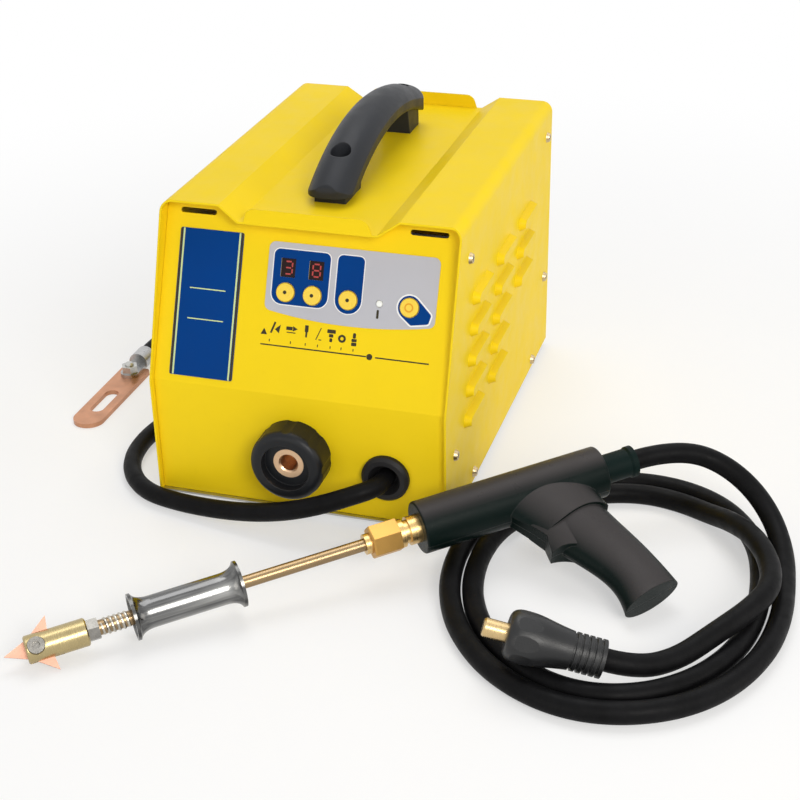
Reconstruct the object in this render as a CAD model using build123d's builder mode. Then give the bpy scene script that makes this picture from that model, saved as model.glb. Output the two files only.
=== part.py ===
from build123d import *
from math import asin, cos, degrees, pi, radians, sin, sqrt, tan
import os

# A dent pulling welder: a folded sheet-metal power unit with its controls, a pulling gun on a
# heavy cable and an earth lead. Millimetres, +Z up, front towards -Y. The pieces are drawn about
# the floor under the middle of the case, and written about the floor under the middle of the unit
# and the gun, without the cables and what hangs on them.

os.makedirs("parts", exist_ok=True)

# Case
case_width = 234.0
case_depth = 346.0
case_height = 227.0
foot_height = 6.0
foot_diameter = 20.0
foot_inset = 46.0
foot_stem = 5.0
foot_stem_rise = 4.0
sheet = 1.5
fit_gap = 0.2
crease_height = 97.0
top_setback = 47.0
strip_width = 47.0
ramp_run = 16.0
channel_depth = 10.5
case_corner = 9.0
lip_base_width = 100.0
lip_top_width = 92.0
lip_height = 11.0
lip_corner = 8.0

# Louvres pressed into both sides, in rows that step forward towards the bottom
louvre_length = 50.0
louvre_height = 12.0
louvre_rise = 5.5
louvre_draft = 24.0
louvre_row_pitch = 23.0
louvre_row_shift = 6.0
louvre_column_pitch = 75.0
louvre_column_rows = (5, 5, 3)
louvre_first_y = -74.0
louvre_first_height = 159.0

# Panels and tray
panel_setback = 5.0
panel_lean = 23.0
panel_flange = 30.0
rear_flange = 25.0
tray_flange_height = 22.0
tray_flange_space = 3.0
corner_slot_length = 29.0
corner_slot_width = 4.0
corner_slot_x = 90.0
corner_slot_up = 130.0
vent_length = 50.0
vent_width = 5.0
vent_columns = 3
vent_rows = 8
vent_column_pitch = 60.0
vent_row_pitch = 11.0
vent_height = 130.0

# Cover screws
screw_diameter = 4.0
screw_length = 9.0
screw_head_diameter = 9.0
screw_head_height = 2.6
screw_head_taper = 22.0
flange_screw_inset = 20.0
rear_screw_inset = 14.0
front_screw_heights = (54.0, 196.0)
rear_screw_heights = (70.0, 201.0)
tray_screw_height = 7.5
tray_screw_ys = (-92.0, 111.0)

# Handle: a bar bent to an arc in the side view, on two legs
handle_width = 36.0
handle_arc_radius = 240.0
handle_arc_y = 36.0
handle_rise = 48.5
handle_bar_thickness = 20.0
handle_crown = 11.0
handle_front_y = -86.0
handle_rear_y = 125.0
handle_end_height = 6.5
handle_nose = 9.0
nose_share = 1.2
handle_corner = 13.0
handle_leg_width = 25.0
front_leg_start = -77.0
front_leg_end = -41.0
rear_leg_start = 91.0
rear_leg_end = 117.0
leg_splay = 9.0
handle_edge = 3.0
handle_screw_ys = (-49.0, 104.0)
handle_screw_diameter = 6.0
handle_screw_head = 10.0
handle_screw_head_height = 6.0
handle_seat_height = 14.0
handle_counterbore = 16.0
handle_nut_flats = 10.0
handle_nut_height = 5.0
handle_screw_tail = 10.0

# Controls, placed on the leaning panel: across it, and up it from the crease
overlay_thickness = 0.6
badge_left = -103.0
badge_right = -52.0
badge_low = 5.5
badge_high = 117.0
badge_corner = 1.5
overlay_left = -31.0
overlay_right = 100.5
overlay_low = 63.0
overlay_dip = 57.0
overlay_high = 113.5
overlay_corner = 5.0
window_width = 11.5
window_height = 14.0
window_up = 95.0
window_xs = (-15.0, 7.0)
display_width = 15.0
display_height = 17.6
key_diameter = 14.0
key_rise = 1.9
key_edge = 0.9
key_gap = 0.4
key_seat = 0.25
key_flange = 1.2
key_flange_diameter = 16.6
key_stem = 5.0
key_travel = 1.0
key_places = {
    "key_left": (-15.5, 76.7),
    "key_right": (5.6, 76.4),
    "key_mode": (33.4, 76.0),
    "key_standby": (80.5, 75.6),
}
led_place = (57.5, 76.0)
led_diameter = 5.0
led_rise = 1.2
board_depth = 9.0
board_thickness = 1.6
board_left = -38.0
board_right = 104.0
board_low = 58.0
board_high = 117.0
standoff_inset = 4.5
standoff_diameter = 6.0
standoff_stud = 3.0
standoff_stud_length = 5.0
switch_side = 6.0
switch_height = 2.5
stop_clearance = 0.2

# Output socket
socket_x = -3.0
socket_height = 48.0
socket_diameter = 58.0
socket_rise = 23.0
socket_rounding = 6.0
socket_lobes = 8
socket_lobe_radius = 14.0
socket_lobe_depth = 0.8
socket_recess = 38.0
socket_recess_depth = 8.0
socket_neck = 34.0
socket_neck_length = 12.0
insert_diameter = 24.0
insert_rear = 14.0
bore_diameter = 13.2
bore_depth = 26.0
bore_mouth = 15.5
bore_lead = 1.2
stud_diameter = 10.0
stud_length = 40.0
socket_nut_flats = 42.0
socket_nut_height = 8.0
slip = 0.1

# Earth lead's bush
grommet_x = 69.0
grommet_height = 39.0
grommet_diameter = 37.0
grommet_rise = 6.0
grommet_rear_diameter = 34.0
grommet_rear = 6.0
grommet_neck = 29.6
grommet_mouth = 25.0
grommet_seat = 2.0
ferrule_diameter = 12.4
ferrule_length = 28.0

# Transformer and copper bars
core_width = 150.0
core_height = 125.0
core_stack = 80.0
core_leg = 25.0
core_y = 45.0
core_lift = 3.0
winding_gap = 1.0
winding_build = 20.0
winding_corner = 18.0
primary_height = 47.0
secondary_height = 23.0
tab_width = 20.0
tab_length = 20.0
tab_thickness = 12.0
tab_x = 24.0
turn_slit = 6.0
bracket_height = 24.0
bracket_foot = 30.0
bracket_sheet = 3.0
core_bolt_diameter = 6.0
core_bolt_head = 4.0
core_bolt_head_diameter = 11.0
bar_thickness = 6.0
bar_overlap = 16.0
bar_upright = 24.0
output_plate_gap = 44.0
earth_plate_gap = 22.0

# Power electronics and mains side
heatsink_size = (50.0, 70.0, 25.5)
heatsink_place = (-75.0, -85.0)
heatsink_slots = 5
heatsink_slot_width = 5.0
heatsink_top = 6.0
module_size = (30.0, 60.0, 20.0)
terminal_size = (26.0, 40.0, 22.0)
terminal_wall_gap = 5.8
terminal_y = 112.0
terminal_ways = 3
terminal_hole = 5.0
gland_x = 60.0
gland_height = 39.0
gland_thread = 16.0
gland_collar = 24.0
gland_collar_length = 6.0
gland_dome = 19.0
gland_dome_length = 12.0
gland_bore = 10.0
gland_tail = 10.0

# Pulling gun: its own axis runs from the tip at the front to the cable at the back
gun_rear = Vector(222.6, -129.5, 52.0)
gun_yaw = 38.457
gun_pitch = 5.19
gun_roll = 18.2
barrel_length = 145.7
barrel_diameter = 39.0
barrel_edge = 1.5
shell_wall = 3.0
grip_floor = 4.0
housing_thickness = 31.0
gun_screw_places = ((-48.0, -29.0), (-25.0, -52.0), (-20.0, -103.0))
gun_boss = 8.0
gun_screw_diameter = 3.0
gun_screw_length = 16.0
gun_screw_head = 5.6
gun_screw_head_height = 2.4
gun_screw_seat = 9.0
conductor_diameter = 12.0
boot_length = 28.0
boot_diameter = 22.0
boot_lip = 24.0
boot_neck = 16.0
adaptor_spigot = 17.0
adaptor_inside = 10.0
adaptor_collar = 21.0
adaptor_collar_length = 8.0
adaptor_groove_length = 4.0
adaptor_length = 15.7
adaptor_nose = 15.0
nut_flats = 22.0
nut_length = 21.2
nut_bevel = 1.0
collet_diameter = 15.0
collet_length = 4.4
rod_diameter = 9.0
rod_hidden = 16.0
rod_thread_diameter = 10.6
rod_thread_length = 24.4
jam_flats = 14.0
jam_length = 7.8
holder_diameter = 19.6
holder_length = 42.2
holder_edge = 1.0
holder_socket = 10.0
star_setback = 34.9
star_radius = 22.0
star_waist = 8.5
star_thickness = 2.5
star_tilt = 45.0
star_slot_gap = 0.2
star_slot_length = 24.0
star_screw_diameter = 5.0
star_screw_head = 11.5
star_screw_head_height = 5.0
star_screw_key = 5.0
star_screw_key_depth = 3.0
star_screw_seat = 5.5
star_screw_tail = 8.0
hammer_length = 77.7
hammer_diameter = 22.4
hammer_rim = 33.0
hammer_rim_length = 2.2
hammer_flare = 12.0
hammer_bore = 10.2
hammer_hub = 14.0
hammer_hub_setback = 1.5
hammer_dish = 5.0
hammer_rim_wall = 2.0
hammer_rest_gap = 0.4

# Plug on the gun cable
plug_nose = Vector(199.2, -322.4, 38.0)
plug_yaw = 9.34
plug_drop = 14.31
plug_length = 64.8
plug_diameter = 35.0
plug_tail = 26.0
plug_grip = 22.0
plug_nose_radius = 12.5
plug_rib_start = 43.0
plug_ribs = 5
plug_rib_width = 2.6
plug_groove_depth = 1.3
plug_facets = 8
plug_facet_flats = 33.4
plug_facet_start = 5.0
plug_facet_end = 40.0
pin_diameter = 12.9
pin_length = 16.0
pin_hidden = 30.0
pin_root = 11.0
pin_edge = 1.2

# Cables
gun_cable_diameter = 15.5
earth_cable_diameter = 14.5

# Earth plate
plate_x = -229.0
plate_width = 27.0
plate_thickness = 4.0
plate_front = -89.0
plate_rear = 20.0
plate_rear_corner = 4.0
slot_length = 40.0
slot_width = 12.0
slot_y = -46.0
stud_y = 6.0
earth_stud_diameter = 8.0
earth_stud_rise = 9.0
earth_nut_flats = 13.0
earth_nut_height = 6.5
lug_diameter = 17.2
lug_barrel = 17.0
lug_tongue = 3.0
lug_tongue_width = 17.0
earth_cable_end = (-228.0, 38.0, 8.8)

# Levels and edges that follow from the sizes
bottom = foot_height
top = bottom + case_height
front = -case_depth / 2
rear = case_depth / 2
crease = bottom + crease_height
channel_floor = top - channel_depth
handle_top = channel_floor + handle_rise
channel_half = case_width / 2 - strip_width - ramp_run
tray_top = bottom + sheet
panel_front = front + panel_setback
panel_rear = rear - panel_setback
lean = radians(panel_lean)
cover_slope = top_setback / (top - crease)
margin = 10.0


pieces = {}


def save(piece, name):
    """Label a finished piece and keep it until all are placed in the shared frame."""
    piece.part.label = name
    pieces[name] = piece.part


def case_face(inset, y=0.0):
    """The case's cross-section at y, drawn inward by inset."""
    half = case_width / 2
    inner = half - strip_width
    with BuildSketch(Plane.XZ.offset(-y)) as face:
        with BuildLine():
            Polyline(
                (-half, bottom), (-half, top), (-inner, top), (-channel_half, channel_floor),
                (channel_half, channel_floor), (inner, top), (half, top), (half, bottom),
                close=True,
            )
        make_face()
        corners = face.vertices().group_by(Axis.Y)[-1].sort_by(Axis.X)
        fillet((corners[0], corners[-1]), radius=case_corner)
        if inset > 0:
            offset(amount=-inset, kind=Kind.INTERSECTION, mode=Mode.REPLACE)
    return face.sketch


def panel_line(depth):
    """Side view of the bent front panel at a depth behind its front surface, bottom to top."""
    bend = crease - depth * tan(lean / 2)
    y = panel_front + depth
    high = top + margin
    return [(y, bottom - margin), (y, bend), (y + (high - bend) * tan(lean), high)]


def panel_band(depth, reach):
    """Side view of the space from the panel's surface at a depth back to its front line at reach."""
    far = [(y + reach, z) for y, z in reversed(panel_line(0))]
    with BuildSketch(Plane.YZ) as band:
        with BuildLine():
            Polyline(*panel_line(depth), *far, close=True)
        make_face()
    return band.sketch


def turned(points, plane):
    """A piece turned about the plane's x axis; points are (along the axis, radius)."""
    with BuildPart() as piece:
        with BuildSketch(plane):
            with BuildLine():
                Polyline(*points, close=True)
            make_face()
        revolve(axis=Axis(plane.origin, plane.x_dir))
    return piece


def hexagon(plane, flats, length, bore):
    """A hexagon nut that grows along the plane's normal."""
    with BuildPart() as piece:
        with BuildSketch(plane):
            RegularPolygon(flats / 2, 6, major_radius=False)
            Circle(bore / 2, mode=Mode.SUBTRACT)
        extrude(amount=length)
    return piece


def cord_radii(points):
    """Bend radius at each inner point of a cord's route, as large as its two runs allow."""
    radii = []
    for before, here, after in zip(points, points[1:], points[2:]):
        run_in = here - before
        run_out = after - here
        turn = radians(run_in.get_angle(run_out))
        radii.append(0.45 * min(run_in.length, run_out.length) / tan(turn / 2))
    return radii


def cord_tube(name, route, diameter):
    """A cable's solid along its route, with its radii, length and least gap to itself printed."""
    points = [Vector(*point) for point in route]
    radii = cord_radii(points)
    with BuildPart() as tube:
        with BuildLine() as path:
            FilletPolyline(*points, radius=radii)
        with BuildSketch(path.line ^ 0):
            Circle(diameter / 2)
        sweep()
    wire = path.wires()[0]
    ideal = pi * diameter**2 / 4 * wire.length
    count = int(wire.length / diameter * 2)
    spots = [wire @ (i / count) for i in range(count + 1)]
    step = wire.length / count
    near = int(4 * diameter / step) + 1
    pairs = ((a, b) for a in range(len(spots)) for b in range(a + near, len(spots)))
    gap = min((spots[a] - spots[b]).length for a, b in pairs) - diameter
    print(name, "radii", [round(r) for r in radii])
    print(name, f"length {wire.length:.0f} volume ratio {tube.part.volume / ideal:.4f} gap {gap:.2f}")
    return tube


# Side screws: into the front panel's flange, the rear panel's flange and the tray
side_screws = [
    (panel_front + max(0.0, bottom + h - crease) * tan(lean) + flange_screw_inset, bottom + h)
    for h in front_screw_heights
]
side_screws += [(panel_rear - rear_screw_inset, bottom + h) for h in rear_screw_heights]
side_screws += [(y, bottom + tray_screw_height) for y in tray_screw_ys]
screw_planes = [
    Plane(origin=(side * case_width / 2, y, z), x_dir=(0, side, 0), z_dir=(side, 0, 0))
    for side in (1, -1)
    for y, z in side_screws
]
screw_reach = 4 * sheet + fit_gap
screw_hole = screw_diameter / 2 + fit_gap

# Cover: folded sheet with louvres in its sides
louvre_planes = [
    Plane(
        origin=(
            side * case_width / 2,
            louvre_first_y + column * louvre_column_pitch - row * louvre_row_shift,
            bottom + louvre_first_height - row * louvre_row_pitch,
        ),
        x_dir=(0, side, 0),
        z_dir=(side, 0, 0),
    )
    for side in (1, -1)
    for column, rows in enumerate(louvre_column_rows)
    for row in range(rows)
]
lip_y = front + cover_slope * (channel_floor - crease)
louvre_shrink = 2 * sheet

with BuildPart() as cover:
    extrude(case_face(0), amount=case_depth / 2, both=True)
    extrude(case_face(sheet), amount=case_depth, both=True, mode=Mode.SUBTRACT)
    with Locations((0, 0, bottom)):
        Box(case_width - 2 * sheet, case_depth, 4 * sheet, mode=Mode.SUBTRACT)
    with BuildSketch(Plane.YZ):
        with BuildLine():
            Polyline(
                (front - margin, crease), (front, crease),
                (front + cover_slope * (top + margin - crease), top + margin),
                (front - margin, top + margin),
                close=True,
            )
        make_face()
    extrude(amount=case_width, both=True, mode=Mode.SUBTRACT)
    for lip_plane_y in (lip_y + sheet, rear):
        with BuildSketch(Plane.XZ.offset(-lip_plane_y)) as lip:
            with BuildLine():
                Polyline(
                    (-lip_base_width / 2, channel_floor - sheet),
                    (-lip_top_width / 2, channel_floor + lip_height),
                    (lip_top_width / 2, channel_floor + lip_height),
                    (lip_base_width / 2, channel_floor - sheet),
                    close=True,
                )
            make_face()
            fillet(lip.vertices().group_by(Axis.Y)[-1], radius=lip_corner)
        extrude(amount=sheet)
    with BuildSketch(*louvre_planes):
        SlotOverall(louvre_length, louvre_height)
    extrude(amount=louvre_rise, taper=louvre_draft)
    with BuildSketch(*[plane.offset(-sheet) for plane in louvre_planes]):
        SlotOverall(louvre_length - louvre_shrink, louvre_height - louvre_shrink)
    extrude(amount=louvre_rise, taper=louvre_draft, mode=Mode.SUBTRACT)
    with BuildSketch(*louvre_planes):
        with Locations((0, -louvre_height / 2)):
            Rectangle(louvre_length - 2 * louvre_height, louvre_height)
    extrude(amount=louvre_rise - sheet, mode=Mode.SUBTRACT)
    with BuildSketch(*screw_planes):
        Circle(screw_hole)
    extrude(amount=-screw_reach, mode=Mode.SUBTRACT)
    with BuildSketch(Plane.XY.offset(channel_floor)):
        with Locations(*[(0, y) for y in handle_screw_ys]):
            Circle(handle_screw_diameter / 2 + fit_gap)
    extrude(amount=-2 * sheet, mode=Mode.SUBTRACT)
save(cover, "cover")

# Planes on the front panel
panel = Plane(
    origin=(0, panel_front, crease), x_dir=(1, 0, 0), z_dir=(0, -cos(lean), sin(lean))
)
socket_z = bottom + socket_height
grommet_z = bottom + grommet_height
socket_face = Plane(origin=(socket_x, panel_front, socket_z), x_dir=(1, 0, 0), z_dir=(0, -1, 0))
socket_line = Plane(origin=(socket_x, panel_front, socket_z), x_dir=(0, -1, 0), z_dir=(0, 0, 1))
grommet_face = Plane(origin=(grommet_x, panel_front, grommet_z), x_dir=(1, 0, 0), z_dir=(0, -1, 0))
grommet_line = Plane(origin=(grommet_x, panel_front, grommet_z), x_dir=(0, -1, 0), z_dir=(0, 0, 1))

# Front panel: bent sheet with a return flange all round
panel_inset = sheet + fit_gap
standoff_places = [
    (x, up)
    for x in (board_left + standoff_inset, board_right - standoff_inset)
    for up in (board_low + standoff_inset, board_high - standoff_inset)
]
with BuildPart() as panel_hollow:
    extrude(case_face(panel_inset + sheet), amount=case_depth, both=True)
    extrude(panel_band(sheet, panel_flange + margin), amount=case_width, both=True, mode=Mode.INTERSECT)

with BuildPart() as front_panel:
    extrude(case_face(panel_inset), amount=case_depth, both=True)
    extrude(panel_band(0, panel_flange), amount=case_width, both=True, mode=Mode.INTERSECT)
    add(panel_hollow.part, mode=Mode.SUBTRACT)
    with BuildSketch(*screw_planes):
        Circle(screw_hole)
    extrude(amount=-screw_reach, mode=Mode.SUBTRACT)
    with BuildSketch(panel):
        with Locations((-corner_slot_x, corner_slot_up), (corner_slot_x, corner_slot_up)):
            SlotOverall(corner_slot_length, corner_slot_width)
        with Locations(*[(x, window_up) for x in window_xs]):
            Rectangle(window_width, window_height)
        with Locations(*key_places.values()):
            Circle(key_diameter / 2 + key_gap)
        with Locations(led_place):
            Circle(led_diameter / 2 + fit_gap)
    extrude(amount=-2 * sheet, mode=Mode.SUBTRACT)
    with BuildSketch(socket_face):
        Circle(socket_neck / 2 + fit_gap)
    extrude(amount=-2 * sheet, mode=Mode.SUBTRACT)
    with BuildSketch(grommet_face):
        Circle(grommet_neck / 2 + fit_gap)
    extrude(amount=-2 * sheet, mode=Mode.SUBTRACT)
save(front_panel, "front_panel")

# Rear panel: flanged sheet with cooling slots and the mains inlet
gland_z = bottom + gland_height
rear_face = Plane(origin=(0, panel_rear, 0), x_dir=(-1, 0, 0), z_dir=(0, 1, 0))
with BuildPart() as rear_panel:
    extrude(case_face(panel_inset, panel_rear), amount=rear_flange)
    extrude(case_face(panel_inset + sheet, panel_rear - sheet), amount=rear_flange, mode=Mode.SUBTRACT)
    with BuildSketch(*screw_planes):
        Circle(screw_hole)
    extrude(amount=-screw_reach, mode=Mode.SUBTRACT)
    with BuildSketch(rear_face):
        with Locations((0, bottom + vent_height)):
            with GridLocations(vent_column_pitch, vent_row_pitch, vent_columns, vent_rows):
                SlotOverall(vent_length, vent_width)
        with Locations((-gland_x, gland_z)):
            Circle(gland_thread / 2 + fit_gap)
    extrude(amount=-2 * sheet, mode=Mode.SUBTRACT)
save(rear_panel, "rear_panel")

# Base tray
tray_width = case_width - 2 * panel_inset
tray_length = case_depth - 2 * sheet
tray_flange_length = 2 * (-panel_front - panel_flange - tray_flange_space)
foot_places = [
    (sx * (case_width / 2 - foot_inset), sy * (case_depth / 2 - foot_inset))
    for sx in (1, -1)
    for sy in (1, -1)
]
floor_align = (Align.CENTER, Align.CENTER, Align.MIN)
with BuildPart() as base_tray:
    with Locations((0, 0, bottom)):
        Box(tray_width, tray_length, sheet, align=floor_align)
        Box(tray_width, tray_flange_length, tray_flange_height, align=floor_align)
    with Locations((0, 0, tray_top)):
        Box(tray_width - 2 * sheet, tray_length, tray_flange_height, align=floor_align, mode=Mode.SUBTRACT)
    with BuildSketch(*screw_planes):
        Circle(screw_hole)
    extrude(amount=-screw_reach, mode=Mode.SUBTRACT)
    with BuildSketch(Plane.XY.offset(bottom)):
        with Locations(*foot_places):
            Circle(foot_stem / 2 + fit_gap)
    extrude(amount=2 * sheet, mode=Mode.SUBTRACT)
save(base_tray, "base_tray")

with BuildPart() as feet:
    with BuildSketch(Plane.XY.offset(bottom)):
        with Locations(*foot_places):
            Circle(foot_diameter / 2)
    extrude(amount=-foot_height, taper=10)
    with BuildSketch(Plane.XY.offset(bottom)):
        with Locations(*foot_places):
            Circle(foot_stem / 2)
    extrude(amount=foot_stem_rise)
save(feet, "feet")

with BuildPart() as cover_screws:
    with BuildSketch(*screw_planes):
        Circle(screw_head_diameter / 2)
    extrude(amount=screw_head_height, taper=screw_head_taper)
    with BuildSketch(*screw_planes):
        Circle(screw_diameter / 2)
    extrude(amount=-screw_length)
save(cover_screws, "cover_screws")

# Handle: a crowned bar swung about its arc's centre, on two splayed legs
arc_z = handle_top - handle_arc_radius
arc_line = Axis((0, handle_arc_y, arc_z), (1, 0, 0))
bar_low = handle_arc_radius - handle_bar_thickness
bar_shoulder = handle_arc_radius - handle_crown
leg_top = handle_top - handle_bar_thickness / 2
seat_z = channel_floor + handle_seat_height


def leg_outline(low, high, front_shift, rear_shift):
    """Side view of a leg that widens upwards by the two shifts."""
    return [
        (low, channel_floor), (low + front_shift, leg_top),
        (high + rear_shift, leg_top), (high, channel_floor),
    ]


def bar_angle(y):
    """Angle between the arc's top and the bar's crown at y, in radians."""
    return asin((y - handle_arc_y) / handle_arc_radius)


bar_overrun = radians(4.0)
rear_angle = bar_angle(handle_rear_y) + bar_overrun
bar_sweep = degrees(rear_angle - bar_angle(handle_front_y) + bar_overrun)
bar_middle = (handle_front_y + handle_rear_y) / 2
bar_run = handle_rear_y - handle_front_y
bar_floor = channel_floor + handle_end_height


def nose_radius(y):
    """Rounding of the bar's end at y, limited by that end's height."""
    crown = arc_z + sqrt(handle_arc_radius ** 2 - (y - handle_arc_y) ** 2)
    return min(handle_nose, nose_share * (crown - bar_floor))


handle_section = Plane(
    origin=(0, handle_arc_y, arc_z), x_dir=(1, 0, 0), z_dir=(0, -cos(rear_angle), sin(rear_angle))
)
with BuildPart() as handle_bar:
    with BuildSketch(handle_section) as bar_section:
        with BuildLine():
            shoulder_left = (-handle_width / 2, bar_shoulder)
            shoulder_right = (handle_width / 2, bar_shoulder)
            ThreePointArc(shoulder_left, (0, handle_arc_radius), shoulder_right)
            Polyline(shoulder_right, (handle_width / 2, bar_low), (-handle_width / 2, bar_low), shoulder_left)
        make_face()
        fillet(bar_section.vertices().group_by(Axis.Y)[0], radius=handle_edge)
    revolve(axis=arc_line, revolution_arc=bar_sweep)
    with BuildSketch(Plane.YZ) as bar_side:
        with Locations((handle_arc_y, arc_z)):
            Circle(handle_arc_radius + fit_gap)
        with Locations((bar_middle, bar_floor)):
            Rectangle(bar_run, handle_top, align=(Align.CENTER, Align.MIN), mode=Mode.INTERSECT)
        front_end = bar_side.vertices().group_by(Axis.X)[0].sort_by(Axis.Y)[-1]
        fillet(front_end, radius=nose_radius(handle_front_y))
        rear_end = bar_side.vertices().group_by(Axis.X)[-1].sort_by(Axis.Y)[-1]
        fillet(rear_end, radius=nose_radius(handle_rear_y))
    extrude(amount=handle_width, both=True, mode=Mode.INTERSECT)
    with BuildSketch(Plane.XY.offset(bar_floor - margin)):
        with Locations((0, bar_middle)):
            RectangleRounded(handle_width + fit_gap, bar_run, handle_corner)
    extrude(amount=handle_top, mode=Mode.INTERSECT)

with BuildPart() as handle:
    with BuildSketch(Plane.YZ):
        with BuildLine():
            Polyline(*leg_outline(front_leg_start, front_leg_end, 0, leg_splay), close=True)
        make_face()
        with BuildLine():
            Polyline(*leg_outline(rear_leg_start, rear_leg_end, -leg_splay, 0), close=True)
        make_face()
    extrude(amount=handle_leg_width / 2, both=True)
    with BuildSketch(Plane.YZ):
        with Locations((handle_arc_y, arc_z)):
            Circle(handle_arc_radius - handle_crown)
    extrude(amount=handle_width, both=True, mode=Mode.INTERSECT)
    add(handle_bar.part)
    with BuildSketch(Plane.XY.offset(seat_z)):
        with Locations(*[(0, y) for y in handle_screw_ys]):
            Circle(handle_counterbore / 2)
    extrude(amount=handle_top - seat_z, mode=Mode.SUBTRACT)
    with BuildSketch(Plane.XY.offset(channel_floor)):
        with Locations(*[(0, y) for y in handle_screw_ys]):
            Circle(handle_screw_diameter / 2 + fit_gap)
    extrude(amount=handle_seat_height, mode=Mode.SUBTRACT)
save(handle, "handle")

with BuildPart() as handle_screws:
    with BuildSketch(Plane.XY.offset(seat_z)):
        with Locations(*[(0, y) for y in handle_screw_ys]):
            Circle(handle_screw_head / 2)
    extrude(amount=handle_screw_head_height)
    with BuildSketch(Plane.XY.offset(channel_floor - handle_screw_tail)):
        with Locations(*[(0, y) for y in handle_screw_ys]):
            Circle(handle_screw_diameter / 2)
    extrude(amount=handle_seat_height + handle_screw_tail)
save(handle_screws, "handle_screws")

with BuildPart() as handle_nuts:
    with BuildSketch(Plane.XY.offset(channel_floor - sheet)):
        with Locations(*[(0, y) for y in handle_screw_ys]):
            RegularPolygon(handle_nut_flats / 2, 6, major_radius=False)
            Circle(handle_screw_diameter / 2 + slip, mode=Mode.SUBTRACT)
    extrude(amount=-handle_nut_height)
save(handle_nuts, "handle_nuts")

# Plates on the leaning panel
with BuildPart() as badge_plate:
    with BuildSketch(panel):
        with Locations(((badge_left + badge_right) / 2, (badge_low + badge_high) / 2)):
            RectangleRounded(badge_right - badge_left, badge_high - badge_low, badge_corner)
    extrude(amount=overlay_thickness)
save(badge_plate, "badge_plate")

with BuildPart() as control_overlay:
    with BuildSketch(panel) as film:
        with BuildLine():
            Polyline(
                (overlay_left, overlay_low), (overlay_left, overlay_high),
                (overlay_right, overlay_high), (overlay_right, overlay_low),
            )
            ThreePointArc(
                (overlay_right, overlay_low),
                ((overlay_left + overlay_right) / 2, overlay_dip),
                (overlay_left, overlay_low),
            )
        make_face()
        fillet(film.vertices(), radius=overlay_corner)
        with Locations(*[(x, window_up) for x in window_xs]):
            Rectangle(window_width, window_height, mode=Mode.SUBTRACT)
        with Locations(*key_places.values()):
            Circle(key_diameter / 2 + key_gap, mode=Mode.SUBTRACT)
        with Locations(led_place):
            Circle(led_diameter / 2 + fit_gap, mode=Mode.SUBTRACT)
    extrude(amount=overlay_thickness)
save(control_overlay, "control_overlay")

# Display modules on the board, with their faces in the panel's windows
for name, x in zip(("display_left", "display_right"), window_xs):
    with BuildPart() as display:
        with BuildSketch(panel.offset(-board_depth)):
            with Locations((x, window_up)):
                Rectangle(display_width, display_height)
        extrude(amount=board_depth - sheet - fit_gap)
        with BuildSketch(panel.offset(-board_depth)):
            with Locations((x, window_up)):
                Rectangle(window_width - 2 * fit_gap, window_height - 2 * fit_gap)
        extrude(amount=board_depth)
    save(display, name)

# Keys: each is held by its flange behind the panel
key_back = sheet + key_seat + key_flange
key_stem_length = board_depth - switch_height - key_travel - stop_clearance - key_back
for name, place in key_places.items():
    with BuildPart() as key:
        with BuildSketch(panel.offset(-key_back)):
            with Locations(place):
                Circle(key_flange_diameter / 2)
        extrude(amount=key_flange)
        with BuildSketch(panel.offset(-key_back)):
            with Locations(place):
                Circle(key_diameter / 2)
        extrude(amount=key_back + overlay_thickness + key_rise)
        key_face = key.faces().sort_by(Axis(panel.origin, panel.z_dir))[-1]
        fillet(key_face.edges(), radius=key_edge)
        with BuildSketch(panel.offset(-key_back)):
            with Locations(place):
                Circle(key_stem / 2)
        extrude(amount=-key_stem_length)
    save(key, name)

with BuildPart() as status_led:
    with BuildSketch(panel.offset(-board_depth)):
        with Locations(led_place):
            Circle(led_diameter / 2)
    extrude(amount=board_depth + overlay_thickness + led_rise)
    led_face = status_led.faces().sort_by(Axis(panel.origin, panel.z_dir))[-1]
    fillet(led_face.edges(), radius=led_rise)
save(status_led, "status_led")

# Control board on its standoffs
with BuildPart() as control_board:
    with BuildSketch(panel.offset(-board_depth)):
        with Locations(((board_left + board_right) / 2, (board_low + board_high) / 2)):
            Rectangle(board_right - board_left, board_high - board_low)
        with Locations(*standoff_places):
            Circle(standoff_stud / 2 + slip, mode=Mode.SUBTRACT)
    extrude(amount=-board_thickness)
save(control_board, "control_board")

with BuildPart() as board_standoffs:
    with BuildSketch(panel.offset(-sheet)):
        with Locations(*standoff_places):
            Circle(standoff_diameter / 2)
    extrude(amount=sheet - board_depth)
    with BuildSketch(panel.offset(-board_depth)):
        with Locations(*standoff_places):
            Circle(standoff_stud / 2)
    extrude(amount=-standoff_stud_length)
save(board_standoffs, "board_standoffs")

with BuildPart() as key_switches:
    with BuildSketch(panel.offset(-board_depth)):
        with Locations(*key_places.values()):
            Rectangle(switch_side, switch_side)
    extrude(amount=switch_height)
save(key_switches, "key_switches")

# Output socket: lobed collar, brass insert and the nut behind the panel
lobe_circle = socket_diameter / 2 + socket_lobe_radius - socket_lobe_depth
with BuildPart() as socket_body:
    with BuildSketch(socket_face):
        Circle(socket_diameter / 2)
    extrude(amount=socket_rise)
    fillet(socket_body.edges().sort_by(Axis.Y)[0], radius=socket_rounding)
    with BuildSketch(socket_face):
        with PolarLocations(lobe_circle, socket_lobes):
            Circle(socket_lobe_radius)
    extrude(amount=socket_rise, mode=Mode.SUBTRACT)
    with BuildSketch(socket_face.offset(socket_rise)):
        Circle(socket_recess / 2)
    extrude(amount=-socket_recess_depth, mode=Mode.SUBTRACT)
    with BuildSketch(socket_face):
        Circle(socket_neck / 2)
    extrude(amount=-socket_neck_length)
    with BuildSketch(socket_face.offset(-socket_neck_length)):
        Circle(insert_diameter / 2 + slip)
    extrude(amount=socket_neck_length + socket_rise, mode=Mode.SUBTRACT)
save(socket_body, "socket_body")

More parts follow.
